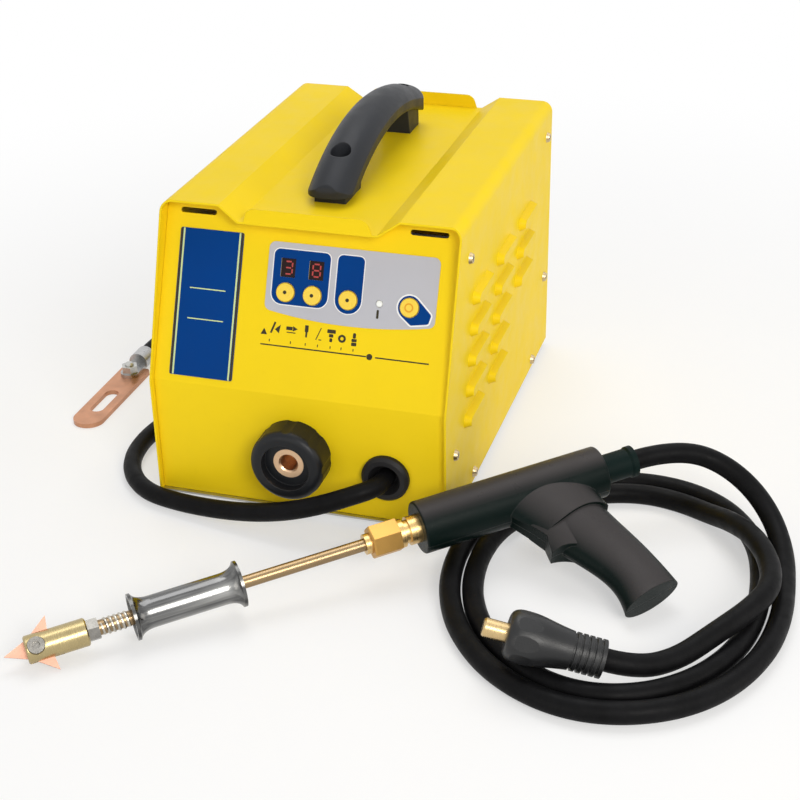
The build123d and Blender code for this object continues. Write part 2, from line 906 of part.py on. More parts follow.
insert_front = socket_rise - socket_recess_depth + slip
bore_end = insert_front - bore_depth
socket_insert = turned(
    [
        (-insert_rear - stud_length, 0), (-insert_rear - stud_length, stud_diameter / 2),
        (-insert_rear, stud_diameter / 2), (-insert_rear, insert_diameter / 2),
        (insert_front, insert_diameter / 2), (insert_front, bore_mouth / 2),
        (insert_front - bore_lead, bore_diameter / 2), (bore_end, bore_diameter / 2), (bore_end, 0),
    ],
    socket_line,
)
save(socket_insert, "socket_insert")

socket_nut = hexagon(socket_face.offset(-sheet), socket_nut_flats, -socket_nut_height, socket_neck + 2 * slip)
save(socket_nut, "socket_nut")

# Earth lead's bush, with a bell mouth that the cable bends in
grommet_throat = earth_cable_diameter / 2 + 2 * fit_gap
grommet_hole = ferrule_diameter / 2 + fit_gap
cable_grommet = turned(
    [
        (-grommet_rear, grommet_hole), (-grommet_rear, grommet_rear_diameter / 2),
        (-sheet, grommet_rear_diameter / 2), (-sheet, grommet_neck / 2), (0, grommet_neck / 2),
        (0, grommet_diameter / 2), (grommet_rise * 0.6, grommet_diameter / 2),
        (grommet_rise, grommet_diameter / 2 - grommet_rise * 0.4), (grommet_rise, grommet_mouth / 2),
        (-grommet_seat, grommet_throat), (-grommet_seat, grommet_hole),
    ],
    grommet_line,
)
save(cable_grommet, "cable_grommet")

earth_ferrule = turned(
    [
        (-grommet_seat - ferrule_length, 0), (-grommet_seat - ferrule_length, ferrule_diameter / 2),
        (-grommet_seat, ferrule_diameter / 2), (-grommet_seat, 0),
    ],
    grommet_line,
)
save(earth_ferrule, "earth_ferrule")

# Transformer: laminated core with two windows, windings round the middle leg
core_bottom = tray_top + core_lift
core_front = core_y - core_stack / 2
window_span = core_width / 2 - 2 * core_leg
window_low = core_bottom + core_leg
core_window_height = core_height - 2 * core_leg
core_bolt_places = [(sx * (core_width - core_leg) / 2, core_bottom + core_leg / 2) for sx in (1, -1)]
with BuildPart() as transformer_core:
    with Locations((0, core_y, core_bottom)):
        Box(core_width, core_stack, core_height, align=floor_align)
    with Locations(*[(sx * (core_leg + window_span / 2), core_y, window_low) for sx in (1, -1)]):
        Box(window_span, core_stack, core_window_height, align=floor_align, mode=Mode.SUBTRACT)
    with BuildSketch(Plane.XZ.offset(-core_front)):
        with Locations(*core_bolt_places):
            Circle(core_bolt_diameter / 2 + fit_gap)
    extrude(amount=-core_stack, mode=Mode.SUBTRACT)
save(transformer_core, "transformer_core")


def winding(low, height):
    """A winding's outer shape round the core's middle leg."""
    inner_x = 2 * (core_leg + winding_gap)
    inner_y = core_stack + 2 * winding_gap
    with BuildPart() as coil:
        with BuildSketch(Plane.XY.offset(low)):
            with Locations((0, core_y)):
                RectangleRounded(inner_x + 2 * winding_build, inner_y + 2 * winding_build, winding_corner)
                Rectangle(inner_x, inner_y, mode=Mode.SUBTRACT)
        extrude(amount=height)
    return coil


secondary_low = window_low
primary_low = secondary_low + secondary_height
primary_winding = winding(primary_low, primary_height)
save(primary_winding, "primary_winding")

coil_front = core_front - winding_gap - winding_build
tab_low = secondary_low + (secondary_height - tab_thickness) / 2
tab_top = tab_low + tab_thickness
tab_places = [(sx * tab_x, coil_front - tab_length / 2 + winding_gap, tab_low) for sx in (1, -1)]
turn = winding(secondary_low, secondary_height)
with BuildPart() as secondary_winding:
    add(turn.part)
    with Locations(*tab_places):
        Box(tab_width, tab_length + 2 * winding_gap, tab_thickness, align=floor_align)
    with Locations((0, coil_front + winding_build / 2, secondary_low)):
        Box(
            turn_slit, winding_build + 2 * winding_gap, secondary_height,
            align=floor_align, mode=Mode.SUBTRACT,
        )
save(secondary_winding, "secondary_winding")

bracket_profiles = [
    [
        (face, tray_top), (face, tray_top + bracket_height),
        (face + away * bracket_sheet, tray_top + bracket_height),
        (face + away * bracket_sheet, tray_top + bracket_sheet),
        (face + away * bracket_foot, tray_top + bracket_sheet), (face + away * bracket_foot, tray_top),
    ]
    for face, away in ((core_front, -1), (core_front + core_stack, 1))
]
with BuildPart() as transformer_brackets:
    for profile in bracket_profiles:
        with BuildSketch(Plane.YZ):
            with BuildLine():
                Polyline(*profile, close=True)
            make_face()
        extrude(amount=core_width / 2, both=True)
    with BuildSketch(Plane.XZ.offset(-core_front + bracket_sheet)):
        with Locations(*core_bolt_places):
            Circle(core_bolt_diameter / 2 + fit_gap)
    extrude(amount=-core_stack - 2 * bracket_sheet, mode=Mode.SUBTRACT)
save(transformer_brackets, "transformer_brackets")

bolt_plane = Plane.XZ.offset(-core_front + bracket_sheet)
with BuildPart() as transformer_bolts:
    with BuildSketch(bolt_plane):
        with Locations(*core_bolt_places):
            Circle(core_bolt_head_diameter / 2)
    extrude(amount=core_bolt_head)
    with BuildSketch(bolt_plane):
        with Locations(*core_bolt_places):
            Circle(core_bolt_diameter / 2)
    extrude(amount=-core_stack - 2 * bracket_sheet)
    with BuildSketch(bolt_plane.offset(-core_stack - 2 * bracket_sheet)):
        with Locations(*core_bolt_places):
            Circle(core_bolt_head_diameter / 2)
    extrude(amount=-core_bolt_head)
save(transformer_bolts, "transformer_bolts")

# Copper bars from the secondary's tabs to the socket's stud and to the earth lead
bar_rear = coil_front - tab_length + bar_overlap
output_plate_y = panel_front + output_plate_gap
earth_plate_y = panel_front + earth_plate_gap
bar_align = (Align.CENTER, Align.MIN, Align.MIN)
output_left = -tab_x - tab_width / 2
output_right = socket_x + bar_upright / 2
with BuildPart() as output_bar:
    with Locations((-tab_x, output_plate_y, tab_top)):
        Box(tab_width, bar_rear - output_plate_y, bar_thickness, align=bar_align)
    with Locations(((output_left + output_right) / 2, output_plate_y, socket_z - bar_upright / 2)):
        Box(output_right - output_left, bar_thickness, bar_upright, align=bar_align)
    with BuildSketch(Plane.XZ.offset(-output_plate_y)):
        with Locations((socket_x, socket_z)):
            Circle(stud_diameter / 2 + fit_gap)
    extrude(amount=-bar_thickness, mode=Mode.SUBTRACT)
save(output_bar, "output_bar")

earth_left = tab_x - tab_width / 2
earth_right = grommet_x + bar_upright / 2
earth_low = grommet_z - bar_upright / 2
with BuildPart() as earth_bar:
    with Locations((tab_x, earth_plate_y, tab_top)):
        Box(tab_width, bar_rear - earth_plate_y, bar_thickness, align=bar_align)
    with Locations(((earth_left + earth_right) / 2, earth_plate_y, earth_low)):
        Box(earth_right - earth_left, bar_thickness, tab_top + bar_thickness - earth_low, align=bar_align)
    with BuildSketch(Plane.XZ.offset(-earth_plate_y)):
        with Locations((grommet_x, grommet_z)):
            Circle(ferrule_diameter / 2 + fit_gap)
    extrude(amount=-bar_thickness, mode=Mode.SUBTRACT)
save(earth_bar, "earth_bar")

# Heatsink with the power module on it, and the mains terminals
heatsink_pitch = heatsink_size[0] / (heatsink_slots + 1)
with BuildPart() as heatsink:
    with Locations((*heatsink_place, tray_top)):
        Box(*heatsink_size, align=floor_align)
        with GridLocations(heatsink_pitch, 1, heatsink_slots, 1):
            Box(
                heatsink_slot_width, heatsink_size[1], heatsink_size[2] - heatsink_top,
                align=floor_align, mode=Mode.SUBTRACT,
            )
save(heatsink, "heatsink")

with BuildPart() as thyristor_module:
    with Locations((*heatsink_place, tray_top + heatsink_size[2])):
        Box(*module_size, align=floor_align)
    fillet(thyristor_module.edges().filter_by(Axis.Z), radius=sheet)
save(thyristor_module, "thyristor_module")

terminal_x = tray_width / 2 - sheet - terminal_wall_gap - terminal_size[0] / 2
with BuildPart() as terminal_block:
    with Locations((terminal_x, terminal_y, tray_top)):
        Box(*terminal_size, align=floor_align)
        with GridLocations(1, terminal_size[1] / terminal_ways, 1, terminal_ways):
            Hole(terminal_hole / 2)
save(terminal_block, "terminal_block")

gland_line = Plane(origin=(gland_x, panel_rear, gland_z), x_dir=(0, 1, 0), z_dir=(0, 0, 1))
gland_end = gland_collar_length + gland_dome_length
mains_gland = turned(
    [
        (-gland_tail, gland_bore / 2), (-gland_tail, gland_thread / 2), (0, gland_thread / 2),
        (0, gland_collar / 2), (gland_collar_length, gland_collar / 2), (gland_collar_length, gland_dome / 2),
        (gland_end - sheet, gland_dome / 2), (gland_end, gland_dome / 2 - sheet), (gland_end, gland_bore / 2),
    ],
    gland_line,
)
save(mains_gland, "mains_gland")

# Gun frame: x along the axis towards the cable, z out of the gun's left side
yaw = radians(gun_yaw)
pitch = radians(gun_pitch)
roll = radians(gun_roll)
gun_axis = Vector(cos(pitch) * cos(yaw), cos(pitch) * sin(yaw), sin(pitch))
gun_side = Vector(-sin(yaw), cos(yaw), 0)
gun_up = gun_axis.cross(gun_side)
gun = Plane(origin=gun_rear, x_dir=gun_axis, z_dir=gun_up * cos(roll) - gun_side * sin(roll))


def gun_section(x):
    """Plane square to the gun's axis at x, facing the cable."""
    return Plane(origin=gun.from_local_coords(Vector(x, 0, 0)), x_dir=gun.y_dir, z_dir=gun.x_dir)


# Gun shells: barrel, pistol grip with a finger hook, and a wider housing over the grip
barrel_front = -barrel_length
bore_radius = barrel_diameter / 2 - shell_wall
grip_sections = (
    ((-84.0, -8.0), (-17.0, -4.0), 14.0),
    ((-67.0, -40.0), (-13.5, -33.0), 14.0),
    ((-55.0, -66.0), (-7.0, -58.0), 12.6),
    ((-43.0, -90.0), (-1.5, -80.0), 12.0),
    ((-40.0, -106.0), (1.6, -97.0), 12.6),
    ((-42.0, -121.0), (3.8, -112.5), 13.6),
)
housing_sections = (
    ((-92.0, -4.0), (-12.0, 0.0), 17.0),
    ((-73.0, -40.0), (-10.0, -31.0), 16.2),
    ((-64.0, -60.0), (-5.0, -50.0), 15.0),
)
hook_sections = (
    ((-82.0, -26.0), (-14.0, -18.0), 13.5),
    ((-75.0, -48.0), (-12.0, -38.0), 13.0),
    ((-71.0, -66.0), (-6.0, -56.0), 12.0),
)


def across_grip(front_point, back_point):
    """Plane through the grip's front and back edges, square to the gun's middle plane."""
    low = gun.from_local_coords(Vector(*front_point, 0))
    high = gun.from_local_coords(Vector(*back_point, 0))
    run = high - low
    return Plane(origin=(low + high) / 2, x_dir=run, z_dir=run.cross(gun.z_dir)), run.length


def oval_loft(sections, inset):
    """Smooth body through oval sections, drawn inward by inset."""
    with BuildPart() as body:
        for front_point, back_point, half in sections:
            plane, length = across_grip(front_point, back_point)
            with BuildSketch(plane):
                Ellipse(length / 2 - inset, half - inset)
        loft()
    return body


grip = oval_loft(grip_sections, 0)
grip_hollow = oval_loft(grip_sections, shell_wall)
foot_plane = across_grip(*grip_sections[-1][:2])[0]

with BuildPart() as housing:
    add(oval_loft(housing_sections, 0).part)
    with BuildSketch(gun):
        with BuildLine():
            Spline((-86, -8), (-80, -21), (-71.5, -35), (-66.5, -43))
            Spline((-66.5, -43), (-57, -41.5), (-37, -36), (-11, -35))
            Polyline((-11, -35), (-15.5, -8), (-86, -8))
        make_face()
    extrude(amount=housing_thickness, both=True, mode=Mode.INTERSECT)

with BuildPart() as hook:
    with BuildSketch(gun):
        with BuildLine():
            Polyline((-50, -58), (-50, -36), (-72.5, -33), (-66, -46), (-68.5, -60))
            Spline((-68.5, -60), (-60, -58.6), (-50, -62))
            Line((-50, -62), (-50, -58))
        make_face()
    extrude(amount=housing_thickness, both=True)
    add(oval_loft(hook_sections, 0).part, mode=Mode.INTERSECT)

with BuildPart() as grip_space:
    add(grip_hollow.part)
    split(bisect_by=foot_plane.offset(-grip_floor), keep=Keep.BOTTOM)
    with BuildSketch(gun):
        with Locations(*gun_screw_places):
            Circle(gun_boss / 2)
    extrude(amount=housing_thickness, both=True, mode=Mode.SUBTRACT)

with BuildPart() as gun_body:
    with BuildSketch(gun_section(barrel_front)):
        Circle(barrel_diameter / 2)
    extrude(amount=barrel_length)
    fillet(gun_body.edges().filter_by(GeomType.CIRCLE), radius=barrel_edge)
    add(grip.part)
    add(housing.part)
    add(hook.part)
    with BuildSketch(gun_section(barrel_front + shell_wall)):
        Circle(bore_radius)
    extrude(amount=barrel_length - 2 * shell_wall, mode=Mode.SUBTRACT)
    add(grip_space.part, mode=Mode.SUBTRACT)
    with BuildSketch(gun):
        with Locations(*gun_screw_places):
            Circle(gun_screw_diameter / 2 + slip)
    extrude(amount=gun_screw_seat, both=True, mode=Mode.SUBTRACT)
    with BuildSketch(gun.offset(-gun_screw_seat)):
        with Locations(*gun_screw_places):
            Circle(gun_screw_head / 2 + fit_gap)
    extrude(amount=-housing_thickness, mode=Mode.SUBTRACT)
    with BuildSketch(gun_section(barrel_front)):
        Circle(adaptor_spigot / 2 + slip)
    extrude(amount=2 * shell_wall, mode=Mode.SUBTRACT)
    with BuildSketch(gun_section(0)):
        Circle(boot_neck / 2 + slip)
    extrude(amount=-2 * shell_wall, mode=Mode.SUBTRACT)

with BuildPart() as gun_shell_left:
    add(gun_body.part)
    split(bisect_by=gun, keep=Keep.TOP)
save(gun_shell_left, "gun_shell_left")

with BuildPart() as gun_shell_right:
    add(gun_body.part)
    split(bisect_by=gun, keep=Keep.BOTTOM)
save(gun_shell_right, "gun_shell_right")

with BuildPart() as gun_screws:
    with BuildSketch(gun.offset(-gun_screw_seat)):
        with Locations(*gun_screw_places):
            Circle(gun_screw_head / 2)
    extrude(amount=-gun_screw_head_height)
    with BuildSketch(gun.offset(-gun_screw_seat)):
        with Locations(*gun_screw_places):
            Circle(gun_screw_diameter / 2)
    extrude(amount=gun_screw_seat + gun_screw_length / 2 - slip)
save(gun_screws, "gun_screws")

# Boot at the back of the gun, and the conductor between it and the adaptor
cable_boot = turned(
    [
        (-shell_wall, 0), (-shell_wall, boot_neck / 2), (0, boot_neck / 2), (0, boot_diameter / 2),
        (boot_length * 0.8, boot_diameter / 2), (boot_length * 0.86, boot_lip / 2),
        (boot_length, boot_lip / 2), (boot_length, 0),
    ],
    gun,
)
save(cable_boot, "cable_boot")

spigot_end = barrel_front + adaptor_inside
gun_conductor = turned(
    [
        (spigot_end, 0), (spigot_end, conductor_diameter / 2),
        (-shell_wall, conductor_diameter / 2), (-shell_wall, 0),
    ],
    gun,
)
save(gun_conductor, "gun_conductor")

# Brass adaptor with the nut that clamps the rod
collar_front = barrel_front - adaptor_collar_length
groove_front = collar_front - adaptor_groove_length
nut_rear = barrel_front - adaptor_length
nose_front = nut_rear - adaptor_nose
nut_front = nut_rear - nut_length
rod_rear = nut_rear - nut_length + rod_hidden
rod_bore = rod_diameter / 2 + slip
nose_radius = adaptor_spigot / 2 - 2 * fit_gap
gun_adaptor = turned(
    [
        (spigot_end, 0), (spigot_end, adaptor_spigot / 2), (barrel_front, adaptor_spigot / 2),
        (barrel_front, adaptor_collar / 2), (collar_front, adaptor_collar / 2),
        (collar_front, adaptor_spigot / 2), (groove_front, adaptor_spigot / 2),
        (groove_front, adaptor_collar / 2), (nut_rear, adaptor_collar / 2), (nut_rear, nose_radius),
        (nose_front, nose_radius), (nose_front, rod_bore), (rod_rear, rod_bore), (rod_rear, 0),
    ],
    gun,
)
save(gun_adaptor, "gun_adaptor")

with BuildPart() as collet_nut:
    with BuildSketch(gun_section(nut_front)):
        RegularPolygon(nut_flats / 2, 6, major_radius=False)
    extrude(amount=nut_length)
    chamfer(collet_nut.edges().group_by(Axis(gun.origin, gun.x_dir))[0], length=nut_bevel)
    with BuildSketch(gun_section(nose_front - fit_gap)):
        Circle(nose_radius + slip)
    extrude(amount=adaptor_nose + fit_gap, mode=Mode.SUBTRACT)
    with BuildSketch(gun_section(nut_front)):
        Circle(rod_bore)
    extrude(amount=nut_length, mode=Mode.SUBTRACT)
save(collet_nut, "collet_nut")

collet_front = nut_front - collet_length
rod_collet = turned(
    [
        (nut_front, rod_bore), (nut_front, collet_diameter / 2), (collet_front, collet_diameter / 2),
        (collet_front, rod_bore),
    ],
    gun,
)
save(rod_collet, "rod_collet")

# Tip: star between the cheeks of a brass holder
holder_front = -430.0
holder_rear = holder_front + holder_length
jam_rear = holder_rear + jam_length
thread_rear = jam_rear + rod_thread_length
rod_front = holder_rear - holder_socket
star_origin = gun.from_local_coords(Vector(holder_front + holder_length - star_setback, 0, 0))
tilt = radians(star_tilt)
star = Plane(origin=star_origin, x_dir=gun_axis, z_dir=gun_up * cos(tilt) - gun_side * sin(tilt))
thread_bore = rod_thread_diameter / 2 + slip

hammer_rod = turned(
    [
        (rod_rear, 0), (rod_rear, rod_diameter / 2), (thread_rear, rod_diameter / 2),
        (thread_rear, rod_thread_diameter / 2), (rod_front, rod_thread_diameter / 2), (rod_front, 0),
    ],
    gun,
)
save(hammer_rod, "hammer_rod")

jam_nut = hexagon(gun_section(holder_rear), jam_flats, jam_length, 2 * thread_bore)
save(jam_nut, "jam_nut")

with BuildPart() as star_holder:
    with BuildSketch(gun_section(holder_front)):
        Circle(holder_diameter / 2)
    extrude(amount=holder_length)
    chamfer(star_holder.edges().filter_by(GeomType.CIRCLE), length=holder_edge)
    with BuildSketch(gun_section(rod_front)):
        Circle(thread_bore)
    extrude(amount=holder_socket, mode=Mode.SUBTRACT)
    with BuildSketch(star):
        with Locations((holder_front + star_slot_length - holder_rear + star_setback, 0)):
            Rectangle(2 * star_slot_length, 2 * holder_diameter, align=(Align.MAX, Align.CENTER))
    extrude(amount=star_thickness / 2 + star_slot_gap, both=True, mode=Mode.SUBTRACT)
    with BuildSketch(star):
        Circle(star_screw_diameter / 2 + slip)
    extrude(amount=holder_diameter, both=True, mode=Mode.SUBTRACT)
    with BuildSketch(star.offset(star_screw_seat)):
        Circle(star_screw_head / 2 + 2 * fit_gap)
    extrude(amount=holder_diameter, mode=Mode.SUBTRACT)
save(star_holder, "star_holder")

with BuildPart() as pull_star:
    with BuildSketch(star):
        with BuildLine():
            Polyline(
                *[
                    (radius * cos(radians(180 + 60 * i)), radius * sin(radians(180 + 60 * i)))
                    for i in range(6)
                    for radius in [star_waist if i % 2 else star_radius]
                ],
                close=True,
            )
        make_face()
        Circle(star_screw_diameter / 2 + slip, mode=Mode.SUBTRACT)
    extrude(amount=star_thickness / 2, both=True)
save(pull_star, "pull_star")

with BuildPart() as star_screw:
    with BuildSketch(star.offset(star_screw_seat)):
        Circle(star_screw_head / 2)
    extrude(amount=star_screw_head_height)
    with BuildSketch(star.offset(star_screw_seat + star_screw_head_height)):
        RegularPolygon(star_screw_key / 2, 6, major_radius=False)
    extrude(amount=-star_screw_key_depth, mode=Mode.SUBTRACT)
    with BuildSketch(star.offset(star_screw_seat)):
        Circle(star_screw_diameter / 2)
    extrude(amount=-star_screw_seat - star_screw_tail)
save(star_screw, "star_screw")

# Slide hammer: flared at both ends, free to run on the rod
hub_front = thread_rear + hammer_rest_gap
hammer_front = hub_front - hammer_hub_setback
hammer_middle = hammer_front + hammer_length / 2
rim_rear = hammer_front + hammer_rim_length
flare_end = rim_rear + hammer_flare
dish_end = hammer_front + hammer_dish
rim_inside = hammer_rim / 2 - hammer_rim_wall
with BuildPart() as slide_hammer:
    with BuildSketch(gun):
        with BuildLine():
            Polyline(
                (hammer_middle, hammer_bore / 2), (hub_front, hammer_bore / 2), (hub_front, hammer_hub / 2),
                (dish_end, hammer_hub / 2), (dish_end, rim_inside - hammer_rim_wall),
                (hammer_front, rim_inside), (hammer_front, hammer_rim / 2), (rim_rear, hammer_rim / 2),
            )
            Spline(
                (rim_rear, hammer_rim / 2), (flare_end, hammer_diameter / 2),
                tangents=((0.4, -1), (1, 0)),
            )
            Polyline(
                (flare_end, hammer_diameter / 2), (hammer_middle, hammer_diameter / 2),
                (hammer_middle, hammer_bore / 2),
            )
        make_face()
    revolve(axis=Axis(gun.origin, gun.x_dir))
    mirror(about=gun_section(hammer_middle))
save(slide_hammer, "slide_hammer")
print("hammer travel", round(collet_front - (hammer_front + hammer_length - hammer_hub_setback), 2))

# Plug: ribbed rubber sleeve and brass pin
plug_turn = radians(plug_yaw)
plug_fall = radians(plug_drop)
plug_axis = Vector(cos(plug_fall) * cos(plug_turn), cos(plug_fall) * sin(plug_turn), -sin(plug_fall))
plug_side = Vector(-sin(plug_turn), cos(plug_turn), 0)
plug = Plane(origin=plug_nose, x_dir=plug_axis, z_dir=plug_axis.cross(plug_side))
rib_pitch = (plug_length - plug_rib_start) / plug_ribs
tail_radius = plug_tail / 2
rib_outline = [(plug_rib_start, tail_radius)]
for i in range(plug_ribs):
    rib_end = plug_rib_start + (i + 1) * rib_pitch
    rib_outline += [
        (rib_end - rib_pitch, tail_radius - plug_groove_depth),
        (rib_end - plug_rib_width, tail_radius - plug_groove_depth),
        (rib_end - plug_rib_width, tail_radius), (rib_end, tail_radius),
    ]
rib_outline += [
    (plug_length, 0), (pin_hidden, 0), (pin_hidden, pin_root / 2 + slip), (0, pin_root / 2 + slip),
]
rib_outline += [(0, plug_nose_radius)]
plug_front = Plane(origin=plug.origin, x_dir=plug.y_dir, z_dir=plug.x_dir)
with BuildPart() as plug_facet_ring:
    with BuildSketch(plug_front.offset(plug_facet_start)):
        Circle(plug_diameter)
        RegularPolygon(plug_facet_flats / 2, plug_facets, major_radius=False, mode=Mode.SUBTRACT)
    extrude(amount=plug_facet_end - plug_facet_start)
with BuildPart() as plug_sleeve:
    with BuildSketch(plug):
        with BuildLine():
            Spline(
                (0, plug_nose_radius), (plug_grip / 2, plug_diameter / 2), (plug_rib_start, tail_radius),
                tangents=((0.25, 1), (1, -0.12)),
            )
            Polyline(*rib_outline)
        make_face()
    revolve(axis=Axis(plug.origin, plug.x_dir))
    add(plug_facet_ring.part, mode=Mode.SUBTRACT)
save(plug_sleeve, "plug_sleeve")

plug_pin = turned(
    [
        (-pin_length, 0), (-pin_length, pin_diameter / 2 - pin_edge),
        (pin_edge - pin_length, pin_diameter / 2),
        (0, pin_diameter / 2), (0, pin_root / 2), (pin_hidden, pin_root / 2), (pin_hidden, 0),
    ],
    plug,
)
save(plug_pin, "plug_pin")

# Gun cable: two loose turns on the floor, then over them to the plug
gun_cable_route = [
    gun.from_local_coords(Vector(boot_length, 0, 0)),
    gun.from_local_coords(Vector(2 * boot_length - margin, 0, 0)), (286, -87, 54.5), (310, -85, 46),
    (333, -94, 34), (351, -113, 21), (362, -141, 11),
    (366, -175, 7.9), (367.5, -217, 7.9), (360, -262, 7.9), (341, -302, 7.9), (314, -330, 7.9),
    (281, -346, 7.9), (246, -350, 7.9), (212, -340, 7.9), (180, -317.5, 7.9), (153.5, -283, 7.9),
    (137, -241, 7.9), (132, -195, 7.9), (138.5, -152, 7.9), (158, -116, 7.9), (186, -88, 7.9),
    (218, -70, 7.9), (252, -63, 7.9), (285, -68, 7.9), (313, -84.5, 7.9), (333, -110, 7.9),
    (345, -142, 7.9), (350, -178, 7.9), (350.5, -217, 7.9), (343.5, -256, 7.9), (327, -290, 7.9),
    (303.5, -314.5, 7.9), (276, -329, 7.9), (247, -333, 7.9), (217.5, -324.5, 7.9), (189.5, -303.5, 7.9),
    (167, -274, 7.9), (153, -237, 7.9), (149, -196, 7.9), (154.5, -158, 7.9), (172, -127, 7.9),
    (197, -102, 7.9), (225, -86, 7.9), (254, -80.5, 7.9), (281, -86, 7.9), (303, -101, 11),
    (322, -122, 20), (340, -147, 26.5), (354, -177, 26.5), (358, -208, 26.5), (348, -236, 26.5),
    (328, -262, 21), (306, -289, 14), plug.from_local_coords(Vector(plug_length + plug_grip, 0, 0)),
    plug.from_local_coords(Vector(plug_length, 0, 0)),
]
gun_cable = cord_tube("gun_cable", gun_cable_route, gun_cable_diameter)
save(gun_cable, "gun_cable")

# Earth lead: from the bush down to the floor, round the case's corner and back to the plate
earth_cable_route = [
    (grommet_x, panel_front + grommet_seat, grommet_z),
    (69, -177, 45), (63.5, -187.5, 44.5), (50.5, -195.5, 41.5), (31, -201, 34.5), (8, -203, 26.5),
    (-16, -201.5, 19.5), (-41, -198, 14), (-68, -194, 10.5), (-95, -189, 8.5), (-122.5, -181.5, 7.6),
    (-144, -164.5, 7.5), (-158, -140, 7.5), (-163, -110, 7.5), (-159.5, -79, 7.5), (-149, -50, 7.5),
    (-138, -22, 7.5), (-132, 7, 7.5), (-131, 40, 7.5), (-131, 75, 7.5), (-144, 97.5, 7.5),
    (-166.5, 110.5, 7.5), (-192.5, 110.5, 7.5), (-215, 97.5, 7.9), (-228, 75, 8.8),
    earth_cable_end,
]
earth_cable = cord_tube("earth_cable", earth_cable_route, earth_cable_diameter)
save(earth_cable, "earth_cable")

# Earth plate, its stud and nut, and the lug on the cable
tongue_top = plate_thickness + lug_tongue
with BuildPart() as earth_plate:
    with BuildSketch():
        with Locations((plate_x, (plate_front + plate_rear) / 2)):
            Rectangle(plate_width, plate_rear - plate_front)
        with Locations((plate_x, slot_y)):
            SlotOverall(slot_length, slot_width, rotation=90, mode=Mode.SUBTRACT)
        with Locations((plate_x, stud_y)):
            Circle(earth_stud_diameter / 2 + slip, mode=Mode.SUBTRACT)
    extrude(amount=plate_thickness)
    ends = earth_plate.edges().filter_by(Axis.Z).group_by(Axis.Y)
    fillet(ends[0], radius=plate_width / 2 - fit_gap)
    fillet(earth_plate.edges().filter_by(Axis.Z).group_by(Axis.Y)[-1], radius=plate_rear_corner)
save(earth_plate, "earth_plate")

with BuildPart() as earth_stud:
    with Locations((plate_x, stud_y, 0)):
        Cylinder(earth_stud_diameter / 2, tongue_top + earth_stud_rise, align=floor_align)
    chamfer(earth_stud.edges().group_by(Axis.Z)[-1], length=pin_edge)
save(earth_stud, "earth_stud")

nut_face = Plane.XY.offset(tongue_top)
nut_face.origin = (plate_x, stud_y, tongue_top)
earth_nut = hexagon(nut_face, earth_nut_flats, earth_nut_height, earth_stud_diameter + 2 * slip)
save(earth_nut, "earth_nut")

cable_y = earth_cable_end[1]
barrel_start = cable_y - lug_barrel
with BuildPart() as earth_lug:
    with BuildSketch(Plane(origin=earth_cable_end, x_dir=(1, 0, 0), z_dir=(0, -1, 0))):
        Circle(lug_diameter / 2)
    extrude(amount=lug_barrel)
    with BuildSketch(Plane.XY.offset(plate_thickness)):
        with Locations((plate_x, barrel_start + lug_tongue)):
            Rectangle(lug_tongue_width, barrel_start + lug_tongue - stud_y, align=(Align.CENTER, Align.MAX))
        with Locations((plate_x, stud_y)):
            Circle(lug_tongue_width / 2)
            Circle(earth_stud_diameter / 2 + slip, mode=Mode.SUBTRACT)
    extrude(amount=lug_tongue)
save(earth_lug, "earth_lug")

# Shared frame: the middle of the unit and the gun, on the floor
on_cables = (
    "gun_cable", "plug_sleeve", "plug_pin",
    "earth_cable", "earth_lug", "earth_plate", "earth_stud", "earth_nut",
)
boxes = [piece.bounding_box() for name, piece in pieces.items() if name not in on_cables]
middle_x = (min(box.min.X for box in boxes) + max(box.max.X for box in boxes)) / 2
middle_y = (min(box.min.Y for box in boxes) + max(box.max.Y for box in boxes)) / 2
print(f"middle of the unit and the gun {middle_x:.3f} {middle_y:.3f}")
for name, piece in pieces.items():
    placed = piece.translate((-middle_x, -middle_y, 0))
    placed.label = name
    export_step(placed, f"parts/{name}.step")
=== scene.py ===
import math

import bmesh
import bpy
from mathutils import Matrix, Vector


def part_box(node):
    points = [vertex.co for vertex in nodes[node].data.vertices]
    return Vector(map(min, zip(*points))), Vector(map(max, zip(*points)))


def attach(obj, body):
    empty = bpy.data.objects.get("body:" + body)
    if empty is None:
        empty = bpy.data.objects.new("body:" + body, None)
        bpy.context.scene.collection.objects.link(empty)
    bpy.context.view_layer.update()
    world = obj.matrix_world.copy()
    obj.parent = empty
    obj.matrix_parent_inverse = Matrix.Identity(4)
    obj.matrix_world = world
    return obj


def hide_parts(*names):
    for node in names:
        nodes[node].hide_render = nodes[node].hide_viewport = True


# Looks of a dent pulling welder: materials, cables, prints and small metalwork round its solids.
# Places are in millimetres from the floor under the middle of the case, as the solids were drawn.

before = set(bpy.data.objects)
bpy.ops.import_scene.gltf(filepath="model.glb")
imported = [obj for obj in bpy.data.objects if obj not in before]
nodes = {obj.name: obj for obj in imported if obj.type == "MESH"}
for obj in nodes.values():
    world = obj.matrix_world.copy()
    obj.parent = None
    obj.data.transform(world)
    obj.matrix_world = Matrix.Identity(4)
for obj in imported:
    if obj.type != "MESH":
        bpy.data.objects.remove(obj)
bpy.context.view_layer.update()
MM = 0.001
ROOT = "unit"
cover_low, cover_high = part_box("cover")
CASE = Vector(((cover_low[0] + cover_high[0]) / 2, (cover_low[1] + cover_high[1]) / 2, 0))


def at(place):
    """A place in millimetres from the floor under the middle of the case, as metres in the frame."""
    return CASE + Vector(place) * MM


def add_object(name, data):
    """Object with the given data, linked to the scene."""
    made = bpy.data.objects.new(name, data)
    bpy.context.scene.collection.objects.link(made)
    return made


def add_piece(name, mesh, material, body):
    """Visible piece of one material that rides on a body."""
    mesh.materials.clear()
    mesh.materials.append(material)
    made = add_object(name, mesh)
    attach(made, body)


